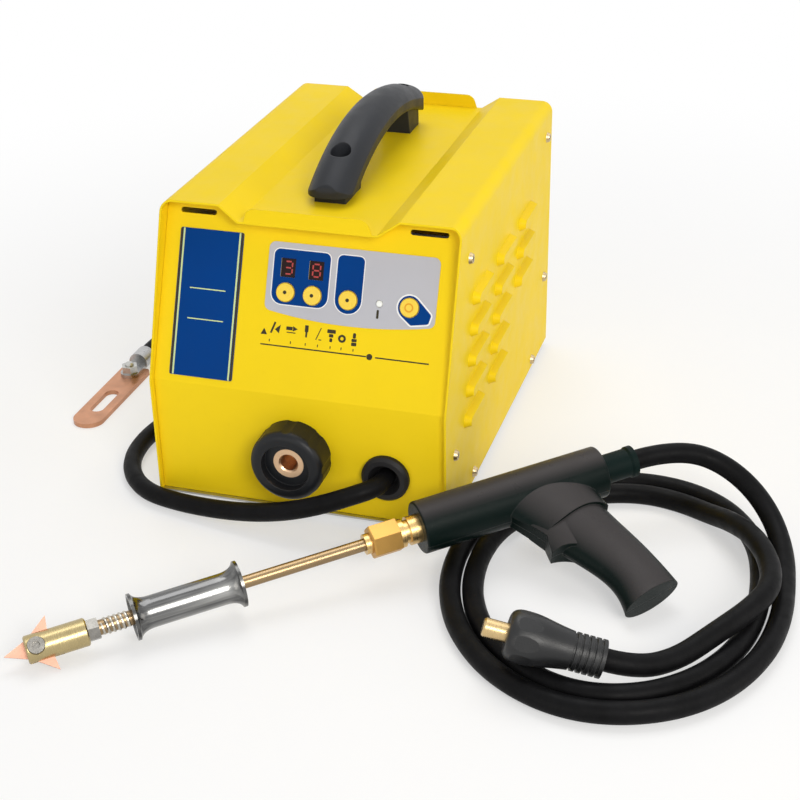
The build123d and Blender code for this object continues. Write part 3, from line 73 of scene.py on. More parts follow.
# Camera at the photograph's place

CAMERA_PLACE = (386.9, -1133.9, 659.1)
CAMERA_TURN = math.radians(17.57)
CAMERA_TILT = math.radians(28.36)
CAMERA_ROLL = math.radians(-1.14)
CAMERA_LENS = 71.262
CAMERA_SENSOR = 36.0


def add_camera():
    """Camera that looks down at the front from the right."""
    data = bpy.data.cameras.new("camera")
    data.sensor_fit = "HORIZONTAL"
    data.sensor_width = CAMERA_SENSOR
    data.lens = CAMERA_LENS
    camera = add_object("camera", data)
    back = Vector((
        math.sin(CAMERA_TURN) * math.cos(CAMERA_TILT),
        -math.cos(CAMERA_TURN) * math.cos(CAMERA_TILT),
        math.sin(CAMERA_TILT),
    ))
    right = (-back).cross(Vector((0, 0, 1))).normalized()
    up = back.cross(right)
    turned_right = right * math.cos(CAMERA_ROLL) + up * math.sin(CAMERA_ROLL)
    turned_up = up * math.cos(CAMERA_ROLL) - right * math.sin(CAMERA_ROLL)
    axes = Matrix((turned_right, turned_up, back)).transposed().to_4x4()
    camera.matrix_world = Matrix.Translation(at(CAMERA_PLACE)) @ axes
    bpy.context.scene.camera = camera


add_camera()


# Node helpers for materials

NOISE_LOW, NOISE_HIGH = 0.3, 0.7
MIX_FACTOR, MIX_FIRST, MIX_SECOND, MIX_RESULT = 0, 6, 7, 2
BEVEL_SAMPLES = 4
EDGE_START, EDGE_FULL = 0.995, 0.90


def link(tree, a, a_socket, b, b_socket):
    """Link an output of one node to an input of another."""
    tree.links.new(a.outputs[a_socket], b.inputs[b_socket])


def node(tree, kind, **settings):
    """New node with some of its settings given."""
    made = tree.nodes.new(kind)
    for key, value in settings.items():
        setattr(made, key, value)
    return made


def fill(made, values):
    """Set a node's inputs, by socket name."""
    for socket, value in values.items():
        made.inputs[socket].default_value = value


def noise(tree, source, scale, detail, roughness, socket="Object"):
    """Noise of a given scale per metre, in object space unless the socket is another."""
    made = node(tree, "ShaderNodeTexNoise")
    fill(made, {"Scale": scale, "Detail": detail, "Roughness": roughness})
    link(tree, source, socket, made, "Vector")
    return made


def ramp(tree, source, low, high, first, last):
    """Colour ramp between two colours over part of a noise's range."""
    made = node(tree, "ShaderNodeValToRGB")
    for element, position, colour in zip(made.color_ramp.elements, (low, high), (first, last)):
        element.position = position
        element.color = colour
    link(tree, source, "Fac", made, "Fac")
    return made


def map_range(tree, source, socket, start, end, low=0.0, high=1.0, easing="LINEAR"):
    """A value's range from start to end, mapped to low to high."""
    made = node(tree, "ShaderNodeMapRange", interpolation_type=easing)
    fill(made, {"From Min": start, "From Max": end, "To Min": low, "To Max": high})
    link(tree, source, socket, made, "Value")
    return made


def spread(tree, source, low, high):
    """A noise's usual range spread over low to high."""
    return map_range(tree, source, "Fac", NOISE_LOW, NOISE_HIGH, low, high)


def along_axis(tree, source, socket, axis):
    """How far a vector reaches along an axis."""
    made = node(tree, "ShaderNodeVectorMath", operation="DOT_PRODUCT")
    made.inputs[1].default_value = axis
    link(tree, source, socket, made, 0)
    return made


def mix_colours(tree, factor, first, second):
    """Output that goes from the first output's colour to a fixed one as the factor output grows."""
    made = node(tree, "ShaderNodeMix", data_type="RGBA")
    made.inputs[MIX_SECOND].default_value = second
    tree.links.new(factor, made.inputs[MIX_FACTOR])
    tree.links.new(first, made.inputs[MIX_FIRST])
    return made.outputs[MIX_RESULT]


def mix_shaders(tree, factor, first, second, output):
    """Mix two shader outputs by a factor output, for the named output node."""
    made = node(tree, "ShaderNodeMixShader")
    for socket, source in enumerate((factor, first, second)):
        tree.links.new(source, made.inputs[socket])
    link(tree, made, "Shader", tree.nodes[output], "Surface")


def add_bump(tree, source, shader, strength, distance):
    """Relief from a noise on a shader's normal."""
    made = node(tree, "ShaderNodeBump")
    fill(made, {"Strength": strength, "Distance": distance})
    link(tree, source, "Fac", made, "Height")
    link(tree, made, "Normal", shader, "Normal")
    return made


def shade(colour, factor):
    """A colour made lighter or darker, with alpha."""
    return tuple(min(1.0, c * factor) for c in colour) + (1.0,)


def base_material(name):
    """New material with its node tree, its shader and its texture coordinates."""
    material = bpy.data.materials.new(name)
    material.use_nodes = True
    tree = material.node_tree
    shader = tree.nodes["Principled BSDF"]
    coordinates = node(tree, "ShaderNodeTexCoord")
    return material, tree, shader, coordinates


def soft_edge(tree, radius):
    """Normal that rounds sharp edges, and how far it leans from the surface there, as a mask."""
    bevel = node(tree, "ShaderNodeBevel", samples=BEVEL_SAMPLES)
    bevel.inputs["Radius"].default_value = radius
    geometry = node(tree, "ShaderNodeNewGeometry")
    lean = node(tree, "ShaderNodeVectorMath", operation="DOT_PRODUCT")
    link(tree, bevel, "Normal", lean, 0)
    link(tree, geometry, "Normal", lean, 1)
    return bevel, map_range(tree, lean, "Value", EDGE_START, EDGE_FULL)


# Kinds of material; a noise's pair is its detail and its roughness

PATCH_NOISE = (5.0, 0.6)
SPECK_NOISE = (9.0, 0.75)
SPECK_SCALE = 9
SPECK_START, SPECK_FULL = 0.60, 0.74
SPECK_SHADE = 0.6
GLOSS_NOISE = (4.0, 0.6)
GLOSS_SCALE = 4
GRAIN_NOISE = (2.0, 0.5)
GRAIN_HEIGHT = 0.0004
EDGE_WEAR = 0.35
EDGE_GAIN = 1.15
COAT_ROUGH = 0.12


def surface(name, colour, rough, metal=0.0, vary=0.08, patch=14.0, grain=600.0, depth=0.02, coat=0.0,
            specular=0.5, rough_vary=0.08, wear=0.12, scuff=None, edge=0.0):
    """Painted, moulded or cast: patchy colour, thin scuffs, uneven gloss, fine grain and rubbed edges."""
    material, tree, shader, coordinates = base_material(name)
    patches = noise(tree, coordinates, patch, *PATCH_NOISE)
    tint = ramp(tree, patches, NOISE_LOW, NOISE_HIGH, shade(colour, 1 - vary), shade(colour, 1 + vary))
    specks = noise(tree, coordinates, patch * SPECK_SCALE, *SPECK_NOISE)
    mask = ramp(tree, specks, SPECK_START, SPECK_FULL, (0, 0, 0, 1), (wear, wear, wear, 1))
    worn = shade(colour, SPECK_SHADE) if scuff is None else scuff
    base = mix_colours(tree, mask.outputs["Color"], tint.outputs["Color"], worn)
    gloss = noise(tree, coordinates, patch * GLOSS_SCALE, *GLOSS_NOISE)
    roughness = spread(tree, gloss, rough - rough_vary, rough + rough_vary)
    link(tree, roughness, "Result", shader, "Roughness")
    fine = noise(tree, coordinates, grain, *GRAIN_NOISE)
    bump = add_bump(tree, fine, shader, depth, GRAIN_HEIGHT)
    if edge:
        bevel, rim = soft_edge(tree, edge)
        link(tree, bevel, "Normal", bump, "Normal")
        uneven = node(tree, "ShaderNodeMath", operation="MULTIPLY")
        link(tree, rim, "Result", uneven, 0)
        link(tree, spread(tree, gloss, 0.0, EDGE_WEAR), "Result", uneven, 1)
        rubbed = shade(colour, EDGE_GAIN) if scuff is None else scuff
        base = mix_colours(tree, uneven.outputs["Value"], base, rubbed)
    tree.links.new(base, shader.inputs["Base Color"])
    fill(shader, {
        "Metallic": metal, "Specular IOR Level": specular, "Coat Weight": coat, "Coat Roughness": COAT_ROUGH,
    })
    return material


def paint_top_highlight(material, colour, toward, start, full):
    """Paints a highlight: greys the sides of a dark surface that look towards a direction, as light from
    there would light them.
    """
    tree = material.node_tree
    shader = tree.nodes["Principled BSDF"]
    unhighlighted = shader.inputs["Base Color"].links[0].from_socket
    coordinates = node(tree, "ShaderNodeTexCoord")
    # Painted highlight: the base colour greys where the surface's normal looks towards the given side.
    facing = along_axis(tree, coordinates, "Normal", toward)
    amount = map_range(tree, facing, "Value", start, full, easing="SMOOTHSTEP")
    greyed = mix_colours(tree, amount.outputs["Result"], unhighlighted, (*colour, 1.0))
    tree.links.new(greyed, shader.inputs["Base Color"])
    return material


LATHE_HEIGHT = 0.0003
STREAK_SCALE = 130.0
STREAK_STRETCH = 0.05
STREAK_NOISE = (4.0, 0.6)
REFLECTION_STREAK_LOW, REFLECTION_STREAK_HIGH = 0.36, 0.64
STREAK_SHINE, STREAK_DULL = 0.05, 0.08
STREAK_DEPTH = 0.05


def drawn_metal_painted_reflections(name, dark, bright, rough, centre, axes, flare):
    """Polished metal with long streaked bands along the first axis, partly drawn streaking and partly painted
    reflections, and painted shade where its ends flare out.
    """
    material, tree, shader, coordinates = base_material(name)
    place = node(tree, "ShaderNodeVectorMath", operation="SUBTRACT")
    place.inputs[1].default_value = centre
    link(tree, coordinates, "Object", place, 0)
    along, side, top = [along_axis(tree, place, "Vector", axis) for axis in axes]
    long = node(tree, "ShaderNodeMath", operation="MULTIPLY")
    long.inputs[1].default_value = STREAK_STRETCH
    link(tree, along, "Value", long, 0)
    stretched = node(tree, "ShaderNodeCombineXYZ")
    for part, socket in ((long, "X"), (side, "Y"), (top, "Z")):
        link(tree, part, "Value", stretched, socket)
    streaks_and_painted_reflections = noise(tree, stretched, STREAK_SCALE, *STREAK_NOISE, "Vector")
    # Painted reflections: the colour runs in dark and bright bands along the axis, standing in for what the
    # chrome mirrors; the streaking is partly the drawn finish.
    tint = ramp(tree, streaks_and_painted_reflections, REFLECTION_STREAK_LOW, REFLECTION_STREAK_HIGH, (*dark, 1.0), (*bright, 1.0))
    out = node(tree, "ShaderNodeMath", operation="ABSOLUTE")
    link(tree, along, "Value", out, 0)
    flare_start, flare_end, flare_shade = flare
    # Painted shade: the colour is darkened towards the flared ends.
    painted_flare_shade = map_range(tree, out, "Value", flare_start, flare_end, 1.0, flare_shade)
    toned = node(tree, "ShaderNodeVectorMath", operation="SCALE")
    link(tree, tint, "Color", toned, 0)
    link(tree, painted_flare_shade, "Result", toned, "Scale")
    link(tree, toned, "Vector", shader, "Base Color")
    roughness = spread(tree, streaks_and_painted_reflections, rough - STREAK_SHINE, rough + STREAK_DULL)
    link(tree, roughness, "Result", shader, "Roughness")
    add_bump(tree, streaks_and_painted_reflections, shader, STREAK_DEPTH, LATHE_HEIGHT)
    shader.inputs["Metallic"].default_value = 1.0
    return material


RING_SCALE = 900.0
RING_DETAIL = 3.0
RING_SHINE, RING_DULL = 0.05, 0.1
TARNISH_SCALE = 60.0
TARNISH_NOISE = (5.0, 0.65)
TARNISH_LOW, TARNISH_HIGH = 0.32, 0.68
TARNISH_VARY = 0.07


def turned_metal(name, colour, rough, axis, depth=0.06):
    """Metal with the fine rings that a lathe leaves round an axis."""
    material, tree, shader, coordinates = base_material(name)
    along = along_axis(tree, coordinates, "Object", axis)
    rings = node(tree, "ShaderNodeTexNoise", noise_dimensions="1D")
    fill(rings, {"Scale": RING_SCALE, "Detail": RING_DETAIL})
    link(tree, along, "Value", rings, "W")
    patches = noise(tree, coordinates, TARNISH_SCALE, *TARNISH_NOISE)
    dark, bright = shade(colour, 1 - TARNISH_VARY), shade(colour, 1 + TARNISH_VARY)
    tint = ramp(tree, patches, TARNISH_LOW, TARNISH_HIGH, dark, bright)
    link(tree, tint, "Color", shader, "Base Color")
    roughness = spread(tree, rings, rough - RING_SHINE, rough + RING_DULL)
    link(tree, roughness, "Result", shader, "Roughness")
    add_bump(tree, rings, shader, depth, LATHE_HEIGHT)
    shader.inputs["Metallic"].default_value = 1.0
    return material


LEAD_PATCH_SCALE, LEAD_PATCH_NOISE = 40.0, (6.0, 0.7)
LEAD_PATCH_LOW, LEAD_PATCH_HIGH = 0.35, 0.8
LEAD_DARK, LEAD_DUSTY = 0.75, 1.9
LEAD_GLOSS_SCALE, LEAD_GLOSS_NOISE = 120.0, (4.0, 0.6)
LEAD_SMOOTH, LEAD_ROUGH = 0.36, 0.58
LEAD_GRAIN_SCALE, LEAD_GRAIN_NOISE = 900.0, (3.0, 0.6)
LEAD_GRAIN_DEPTH = 0.18
LEAD_SPECULAR = 0.07


def lead_material(name, colour):
    """Black rubber of a cable, with a fine grain and dusty scuffs."""
    material, tree, shader, coordinates = base_material(name)
    patches = noise(tree, coordinates, LEAD_PATCH_SCALE, *LEAD_PATCH_NOISE)
    dark, dusty = shade(colour, LEAD_DARK), shade(colour, LEAD_DUSTY)
    tint = ramp(tree, patches, LEAD_PATCH_LOW, LEAD_PATCH_HIGH, dark, dusty)
    link(tree, tint, "Color", shader, "Base Color")
    gloss = noise(tree, coordinates, LEAD_GLOSS_SCALE, *LEAD_GLOSS_NOISE)
    link(tree, spread(tree, gloss, LEAD_SMOOTH, LEAD_ROUGH), "Result", shader, "Roughness")
    fine = noise(tree, coordinates, LEAD_GRAIN_SCALE, *LEAD_GRAIN_NOISE)
    add_bump(tree, fine, shader, LEAD_GRAIN_DEPTH, GRAIN_HEIGHT)
    shader.inputs["Specular IOR Level"].default_value = LEAD_SPECULAR
    return material


def glowing(material, colour, strength):
    """A material that also gives off light."""
    shader = material.node_tree.nodes["Principled BSDF"]
    fill(shader, {"Emission Color": (*colour, 1.0), "Emission Strength": strength})
    return material


# Frames that the solids were built on

def direction(yaw, rise):
    """Unit vector at an angle round the upright from +X, and at an angle above the floor."""
    return Vector((math.cos(rise) * math.cos(yaw), math.cos(rise) * math.sin(yaw), math.sin(rise)))


LEAN = math.radians(23.0)
PANEL_ORIGIN = Vector((0, -168, 103))
PANEL_UP = Vector((0, math.sin(LEAN), math.cos(LEAN)))
PANEL_OUT = Vector((0, -math.cos(LEAN), math.sin(LEAN)))
GUN_REAR = Vector((222.6, -129.5, 52.0))
GUN_YAW = math.radians(38.457)
GUN_PITCH = math.radians(5.19)
GUN_AXIS = direction(GUN_YAW, GUN_PITCH)
GUN_SIDE = Vector((-math.sin(GUN_YAW), math.cos(GUN_YAW), 0))
GUN_TOP = GUN_AXIS.cross(GUN_SIDE)
PLUG_NOSE = Vector((199.2, -322.4, 38.0))
PLUG_YAW = math.radians(9.34)
PLUG_DROP = math.radians(14.31)
PLUG_AXIS = direction(PLUG_YAW, -PLUG_DROP)
PLUG_LENGTH = 64.8
PLUG_GRIP = 22
BOOT_LENGTH = 28


# Cables: the routes' points are the control points of smooth splines

CABLE_BEVEL_STEPS = 6
CABLE_SPAN_STEPS = 8
CABLE_LEAD_IN = 46


def cable(name, route, diameter, material):
    """Round cable along a NURBS spline on the route's control points, in millimetres."""
    data = bpy.data.curves.new(name, "CURVE")
    data.dimensions = "3D"
    data.bevel_depth = diameter / 2 * MM
    data.bevel_resolution = CABLE_BEVEL_STEPS
    data.resolution_u = CABLE_SPAN_STEPS
    spline = data.splines.new("NURBS")
    spline.points.add(len(route) - 1)
    for point, place in zip(spline.points, route):
        point.co = (*at(place), 1.0)
    spline.order_u = 3
    spline.use_endpoint_u = True
    data.use_fill_caps = True
    data.materials.append(material)
    return add_object(name, data)


rubber_cable = lead_material("rubber_cable", (0.005, 0.005, 0.0055))

GUN_CABLE_DIAMETER = 15.5
GUN_CABLE_EXIT = GUN_REAR + BOOT_LENGTH * GUN_AXIS
PLUG_REAR = PLUG_NOSE + PLUG_LENGTH * PLUG_AXIS
GUN_CABLE_ROUTE = [
    GUN_CABLE_EXIT, GUN_REAR + CABLE_LEAD_IN * GUN_AXIS, (286, -87, 54.5), (310, -85, 46), (333, -94, 34),
    (351, -113, 21), (362, -141, 11), (366, -175, 7.9), (367.5, -217, 7.9), (360, -262, 7.9),
    (341, -302, 7.9), (314, -330, 7.9), (281, -346, 7.9), (246, -350, 7.9), (212, -340, 7.9),
    (180, -317.5, 7.9), (153.5, -283, 7.9), (137, -241, 7.9), (132, -195, 7.9), (138.5, -152, 7.9),
    (158, -116, 7.9), (186, -88, 7.9), (218, -70, 7.9), (252, -63, 7.9), (285, -68, 7.9),
    (313, -84.5, 7.9), (333, -110, 7.9), (345, -142, 7.9), (350, -178, 7.9), (350.5, -217, 7.9),
    (343.5, -256, 7.9), (327, -290, 7.9), (303.5, -314.5, 7.9), (276, -329, 7.9), (247, -333, 7.9),
    (217.5, -324.5, 7.9), (189.5, -303.5, 7.9), (167, -274, 7.9), (153, -237, 7.9), (149, -196, 7.9),
    (154.5, -158, 7.9), (172, -127, 7.9), (197, -102, 7.9), (225, -86, 7.9), (254, -80.5, 7.9),
    (281, -86, 7.9), (303, -101, 11), (322, -122, 20), (340, -147, 26.5), (354, -177, 26.5),
    (358, -208, 26.5), (348, -236, 26.5), (328, -262, 21), (306, -289, 14),
    PLUG_REAR + PLUG_GRIP * PLUG_AXIS, PLUG_REAR,
]
gun_cable = cable("gun_lead", GUN_CABLE_ROUTE, GUN_CABLE_DIAMETER, rubber_cable)
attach(gun_cable, ROOT)
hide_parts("gun_cable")

EARTH_CABLE_DIAMETER = 14.5
EARTH_EXIT = Vector((69, -166, 45))
EARTH_ROUTE = [
    EARTH_EXIT, (69, -177, 45), (63.5, -187.5, 44.5), (50.5, -195.5, 41.5), (31, -201, 34.5),
    (8, -203, 26.5), (-16, -201.5, 19.5), (-41, -198, 14), (-68, -194, 10.5), (-95, -189, 8.5),
    (-122.5, -181.5, 7.6), (-144, -164.5, 7.5), (-158, -140, 7.5), (-163, -110, 7.5), (-159.5, -79, 7.5),
    (-149, -50, 7.5), (-138, -22, 7.5), (-132, 7, 7.5), (-131, 40, 7.5), (-131, 75, 7.5),
    (-144, 97.5, 7.5), (-166.5, 110.5, 7.5), (-192.5, 110.5, 7.5), (-215, 97.5, 7.9), (-228, 75, 8.8),
    (-228, 38, 8.8),
]
earth_cable = cable("earth_lead", EARTH_ROUTE, EARTH_CABLE_DIAMETER, rubber_cable)
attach(earth_cable, ROOT)
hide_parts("earth_cable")


# Materials on the CAD nodes

def dress(material, *names):
    """Give CAD nodes a material."""
    for name in names:
        slots = nodes[name].data.materials
        slots.clear()
        slots.append(material)


yellow = surface(
    "yellow_paint", (0.90, 0.65, 0.010), 0.42, vary=0.025, grain=1400.0, depth=0.05, specular=0.10,
    wear=0.10, edge=0.0008,
)
dress(yellow, "cover", "front_panel", "rear_panel")

# Steel
zinc = surface("zinc_steel", (0.50, 0.50, 0.48), 0.34, metal=1.0, vary=0.12, patch=90.0, grain=800.0)
dress(
    zinc, "base_tray", "handle_screws", "handle_nuts", "transformer_brackets", "transformer_bolts",
    "earth_stud", "earth_nut",
)
yellow_zinc = surface(
    "yellow_zinc", (0.60, 0.47, 0.27), 0.36, metal=1.0, vary=0.15, patch=200.0, grain=800.0,
)
dress(yellow_zinc, "cover_screws")
dark_steel = surface(
    "dark_steel", (0.27, 0.26, 0.24), 0.32, metal=1.0, vary=0.15, patch=200.0, grain=800.0,
)
dress(dark_steel, "gun_screws", "star_screw", "jam_nut")

# Plastic and rubber
GREY_SCUFF = (0.16, 0.16, 0.16, 1.0)
handle_plastic = surface(
    "handle_plastic", (0.025, 0.027, 0.032), 0.42, vary=0.12, grain=1800.0, depth=0.25, specular=0.15,
    scuff=GREY_SCUFF, edge=0.0012,
)
dress(handle_plastic, "handle")
# Painted highlight on the gun: its upward sides are greyed in the base colour, standing in for light from
# above.
HIGHLIGHT_GREY = (0.050, 0.046, 0.047)
HIGHLIGHT_SIDE = (0.0, -0.1, 0.995)
HIGHLIGHT_START, HIGHLIGHT_FULL = 0.66, 1.0
unhighlighted_gun_plastic = surface(
    "gun_plastic", (0.003, 0.0078, 0.0068), 0.33, vary=0.15, grain=2200.0, depth=0.22, specular=0.08,
    wear=0.06, scuff=GREY_SCUFF, edge=0.0012,
)
gun_plastic = paint_top_highlight(unhighlighted_gun_plastic, HIGHLIGHT_GREY, HIGHLIGHT_SIDE, HIGHLIGHT_START, HIGHLIGHT_FULL)
dress(gun_plastic, "gun_shell_left", "gun_shell_right")
black_plastic = surface(
    "black_plastic", (0.008, 0.009, 0.011), 0.38, vary=0.15, grain=1500.0, depth=0.12, specular=0.26,
    scuff=GREY_SCUFF, wear=0.05, edge=0.0008,
)
dress(
    black_plastic, "socket_body", "socket_nut", "mains_gland", "terminal_block", "key_switches",
    "thyristor_module",
)
rubber = surface("rubber", (0.011, 0.011, 0.012), 0.55, vary=0.2, grain=1200.0, depth=0.15, specular=0.26)
dress(rubber, "feet", "cable_grommet")
boot_rubber = surface(
    "boot_rubber", (0.003, 0.010, 0.009), 0.5, vary=0.2, grain=1200.0, depth=0.15, specular=0.08,
)
dress(boot_rubber, "cable_boot")
plug_rubber = surface(
    "plug_rubber", (0.010, 0.0105, 0.0115), 0.38, vary=0.2, grain=1500.0, depth=0.2, specular=0.42,
    scuff=GREY_SCUFF, edge=0.0008,
)
dress(plug_rubber, "plug_sleeve")

# Controls and prints
blue = surface("blue_print", (0.001, 0.045, 0.225), 0.36, vary=0.06, grain=500.0, specular=0.04)
dress(blue, "badge_plate")
grey_film = surface(
    "grey_film", (0.48, 0.485, 0.53), 0.36, vary=0.03, grain=1800.0, depth=0.06, specular=0.25,
)
dress(grey_film, "control_overlay")
display_glass = surface("display_glass", (0.012, 0.002, 0.002), 0.2, vary=0.15, specular=0.12)
dress(display_glass, "display_left", "display_right")
key_plastic = surface("key_plastic", (0.90, 0.63, 0.055), 0.30, vary=0.05, grain=900.0, specular=0.35)
dress(key_plastic, "key_left", "key_right", "key_mode", "key_standby")
led_lens = surface("led_lens", (0.84, 0.87, 0.84), 0.16, vary=0.04, coat=0.5)
dress(led_lens, "status_led")
white_print = surface("white_print", (0.84, 0.85, 0.86), 0.4, vary=0.03, specular=0.2)
pale_print = surface("pale_print", (0.60, 0.72, 0.33), 0.4, vary=0.04, specular=0.2)
# Dark print, also used as the painted shade in the cross recesses of the case's screws.
dark_print_and_shade = surface("dark_print_and_shade", (0.035, 0.028, 0.012), 0.45, vary=0.08, specular=0.2)
key_ring = surface("key_ring", (0.78, 0.36, 0.02), 0.4, vary=0.05, specular=0.2)
DIGIT_RED = (0.36, 0.02, 0.02)
digit_red = glowing(surface("digit_red", DIGIT_RED, 0.3), DIGIT_RED, 0.15)

# Brass, copper and the hammer's chrome
brass = turned_metal("brass", (0.70, 0.48, 0.20), 0.28, GUN_AXIS, depth=0.04)
dress(brass, "gun_adaptor", "rod_collet")
nut_brass = surface(
    "nut_brass", (0.54, 0.31, 0.085), 0.42, metal=1.0, vary=0.06, patch=70.0, grain=700.0, depth=0.02,
    rough_vary=0.02, wear=0.02, edge=0.0006,
)
dress(nut_brass, "collet_nut")
rod_brass = turned_metal("rod_brass", (0.30, 0.21, 0.115), 0.28, GUN_AXIS)
dress(rod_brass, "hammer_rod")
tip_brass = turned_metal("tip_brass", (0.46, 0.37, 0.19), 0.26, GUN_AXIS, depth=0.03)
dress(tip_brass, "star_holder")
thread_steel = turned_metal("thread_steel", (0.50, 0.47, 0.41), 0.26, GUN_AXIS, depth=0.03)
plug_brass = turned_metal("plug_brass", (0.60, 0.44, 0.22), 0.28, PLUG_AXIS, depth=0.04)
dress(plug_brass, "plug_pin")
socket_brass = turned_metal("socket_brass", (0.76, 0.52, 0.33), 0.32, (0, 1, 0))
dress(socket_brass, "socket_insert")
copper = surface(
    "copper", (0.53, 0.27, 0.16), 0.38, metal=1.0, vary=0.14, patch=70.0, grain=500.0, depth=0.06,
)
dress(
    copper, "earth_plate", "output_bar", "earth_bar", "earth_ferrule", "secondary_winding",
    "gun_conductor",
)
star_copper = surface(
    "star_copper", (0.66, 0.37, 0.27), 0.48, metal=1.0, vary=0.10, patch=120.0, grain=500.0, depth=0.06,
)
dress(star_copper, "pull_star")
tinned = surface("tinned_copper", (0.46, 0.46, 0.46), 0.32, metal=1.0, vary=0.15, patch=90.0)
dress(tinned, "earth_lug")
hammer_low, hammer_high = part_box("slide_hammer")
HAMMER_MIDDLE = (Vector(hammer_low) + Vector(hammer_high)) / 2
# Painted shade on the hammer: from 27 to 37 mm out from its middle its colour darkens to 0.45; its chrome
# also has painted reflection bands.
HAMMER_FLARE = (0.027, 0.037, 0.45)
chrome = drawn_metal_painted_reflections(
    "hammer_chrome", (0.13, 0.13, 0.13), (0.42, 0.42, 0.41), 0.20, HAMMER_MIDDLE,
    (GUN_AXIS, GUN_SIDE, GUN_TOP), HAMMER_FLARE,
)
dress(chrome, "slide_hammer")

# Inside the case
lamination = surface("lamination", (0.12, 0.12, 0.13), 0.5, metal=0.6, vary=0.15, patch=300.0)
dress(lamination, "transformer_core")
enamel = surface("enamel_wire", (0.30, 0.10, 0.03), 0.4, vary=0.2, patch=120.0)
dress(enamel, "primary_winding")
board = surface("board_green", (0.02, 0.14, 0.05), 0.4, vary=0.15, patch=160.0)
dress(board, "control_board")
nylon = surface("nylon", (0.70, 0.70, 0.64), 0.5, vary=0.05)
dress(nylon, "board_standoffs")
extrusion = surface("extrusion", (0.66, 0.67, 0.68), 0.36, metal=1.0, vary=0.06, patch=60.0)
dress(extrusion, "heatsink")


# Stage: pale floor, soft light

WHITE = (1.0, 1.0, 1.0, 1.0)
AMBIENT = 0.42
AIM = (50, -100, 100)
LAMPS = [
    ("key_light", (1550, -1950, 1450), 1.0, 34.0, (1.0, 0.97, 0.92)),
    ("front_light", (-700, -2600, 400), 1.6, 10.0, (1.0, 0.95, 0.88)),
    ("top_light", (-100, 800, 2600), 1.8, 28.0, (1.0, 1.0, 1.0)),
    ("side_light", (2400, -200, 600), 1.3, 7.0, (1.0, 0.93, 0.85)),
]
FLOOR_REACH = 6.0
FLOOR_DROP = 0.0002
FLOOR_NEAR, FLOOR_FAR, FLOOR_WHITE = 0.35, 1.1, 0.5


def add_area_light(name, place, size, power, colour):
    """Square lamp that is turned towards the object."""
    data = bpy.data.lights.new(name, "AREA")
    data.shape = "SQUARE"
    data.size = size
    data.energy = power
    data.color = colour
    lamp = add_object(name, data)
    lamp.location = at(place)
    lamp.rotation_euler = (Vector(AIM) - Vector(place)).to_track_quat("-Z", "Y").to_euler()


def seen_rays(tree):
    """1 for camera, glossy and transmission rays, which see the plain white background."""
    path = node(tree, "ShaderNodeLightPath")
    first = node(tree, "ShaderNodeMath", operation="MAXIMUM")
    second = node(tree, "ShaderNodeMath", operation="MAXIMUM")
    link(tree, path, "Is Camera Ray", first, 0)
    link(tree, path, "Is Glossy Ray", first, 1)
    link(tree, first, "Value", second, 0)
    link(tree, path, "Is Transmission Ray", second, 1)
    return second


def floor_paper():
    """Pale paper that shows the object's shadow, and goes over to the white background further out."""
    material = surface("floor_paper", (0.93, 0.93, 0.93), 0.9, vary=0.005, specular=0.0)
    tree = material.node_tree
    paper = tree.nodes["Principled BSDF"]
    white = node(tree, "ShaderNodeEmission")
    coordinates = node(tree, "ShaderNodeTexCoord")
    distance = node(tree, "ShaderNodeVectorMath", operation="LENGTH")
    link(tree, coordinates, "Object", distance, 0)
    whiteness = map_range(tree, distance, "Value", FLOOR_NEAR, FLOOR_FAR, FLOOR_WHITE, 1.0, "SMOOTHSTEP")
    share = node(tree, "ShaderNodeMath", operation="MULTIPLY")
    link(tree, seen_rays(tree), "Value", share, 0)
    link(tree, whiteness, "Result", share, 1)
    mix_shaders(
        tree, share.outputs["Value"], paper.outputs["BSDF"], white.outputs["Emission"], "Material Output",
    )
    return material


def add_world():
    """Even light all round, behind a background that looks plain white."""
    world = bpy.data.worlds.new("studio")
    bpy.context.scene.world = world
    world.use_nodes = True
    tree = world.node_tree
    ambient = tree.nodes["Background"]
    fill(ambient, {"Color": WHITE, "Strength": AMBIENT})
    white = node(tree, "ShaderNodeBackground")
    fill(white, {"Color": WHITE, "Strength": 1.0})
    mix_shaders(
        tree, seen_rays(tree).outputs["Value"], ambient.outputs["Background"], white.outputs["Background"],
        "World Output",
    )


def add_floor():
    """Square of paper just under the feet."""
    mesh = bpy.data.meshes.new("floor")
    corners = [(x * FLOOR_REACH, y * FLOOR_REACH, 0) for x, y in ((-1, -1), (1, -1), (1, 1), (-1, 1))]
    mesh.from_pydata(corners, [], [(0, 1, 2, 3)])
    mesh.materials.append(floor_paper())
    floor = add_object("floor", mesh)
    floor.location.z = -FLOOR_DROP


bpy.context.scene.view_settings.view_transform = "Standard"
add_world()
add_floor()
for lamp_name, lamp_place, lamp_size, lamp_power, lamp_colour in LAMPS:
    add_area_light(lamp_name, lamp_place, lamp_size, lamp_power, lamp_colour)


# Outlines of prints on the leaning panel, in millimetres across it and up it

def rounded(left, low, right, high, foot, head=None, steps=6):
    """Rectangle with rounded corners: a radius for the lower two, and one for the upper two if it differs."""
    top = foot if head is None else head
    corners = [
        (left + foot, low + foot, foot, 180), (right - foot, low + foot, foot, 270),
        (right - top, high - top, top, 0), (left + top, high - top, top, 90),
    ]
    points = []
    for x, y, radius, start in corners:
        for i in range(steps + 1):
            angle = math.radians(start + 90 * i / steps)
            points.append((x + radius * math.cos(angle), y + radius * math.sin(angle)))
    return points


def disc(x, y, radius, steps=32):
    """Circle as a closed outline."""
    return [
        (x + radius * math.cos(2 * math.pi * i / steps), y + radius * math.sin(2 * math.pi * i / steps))
        for i in range(steps)
    ]


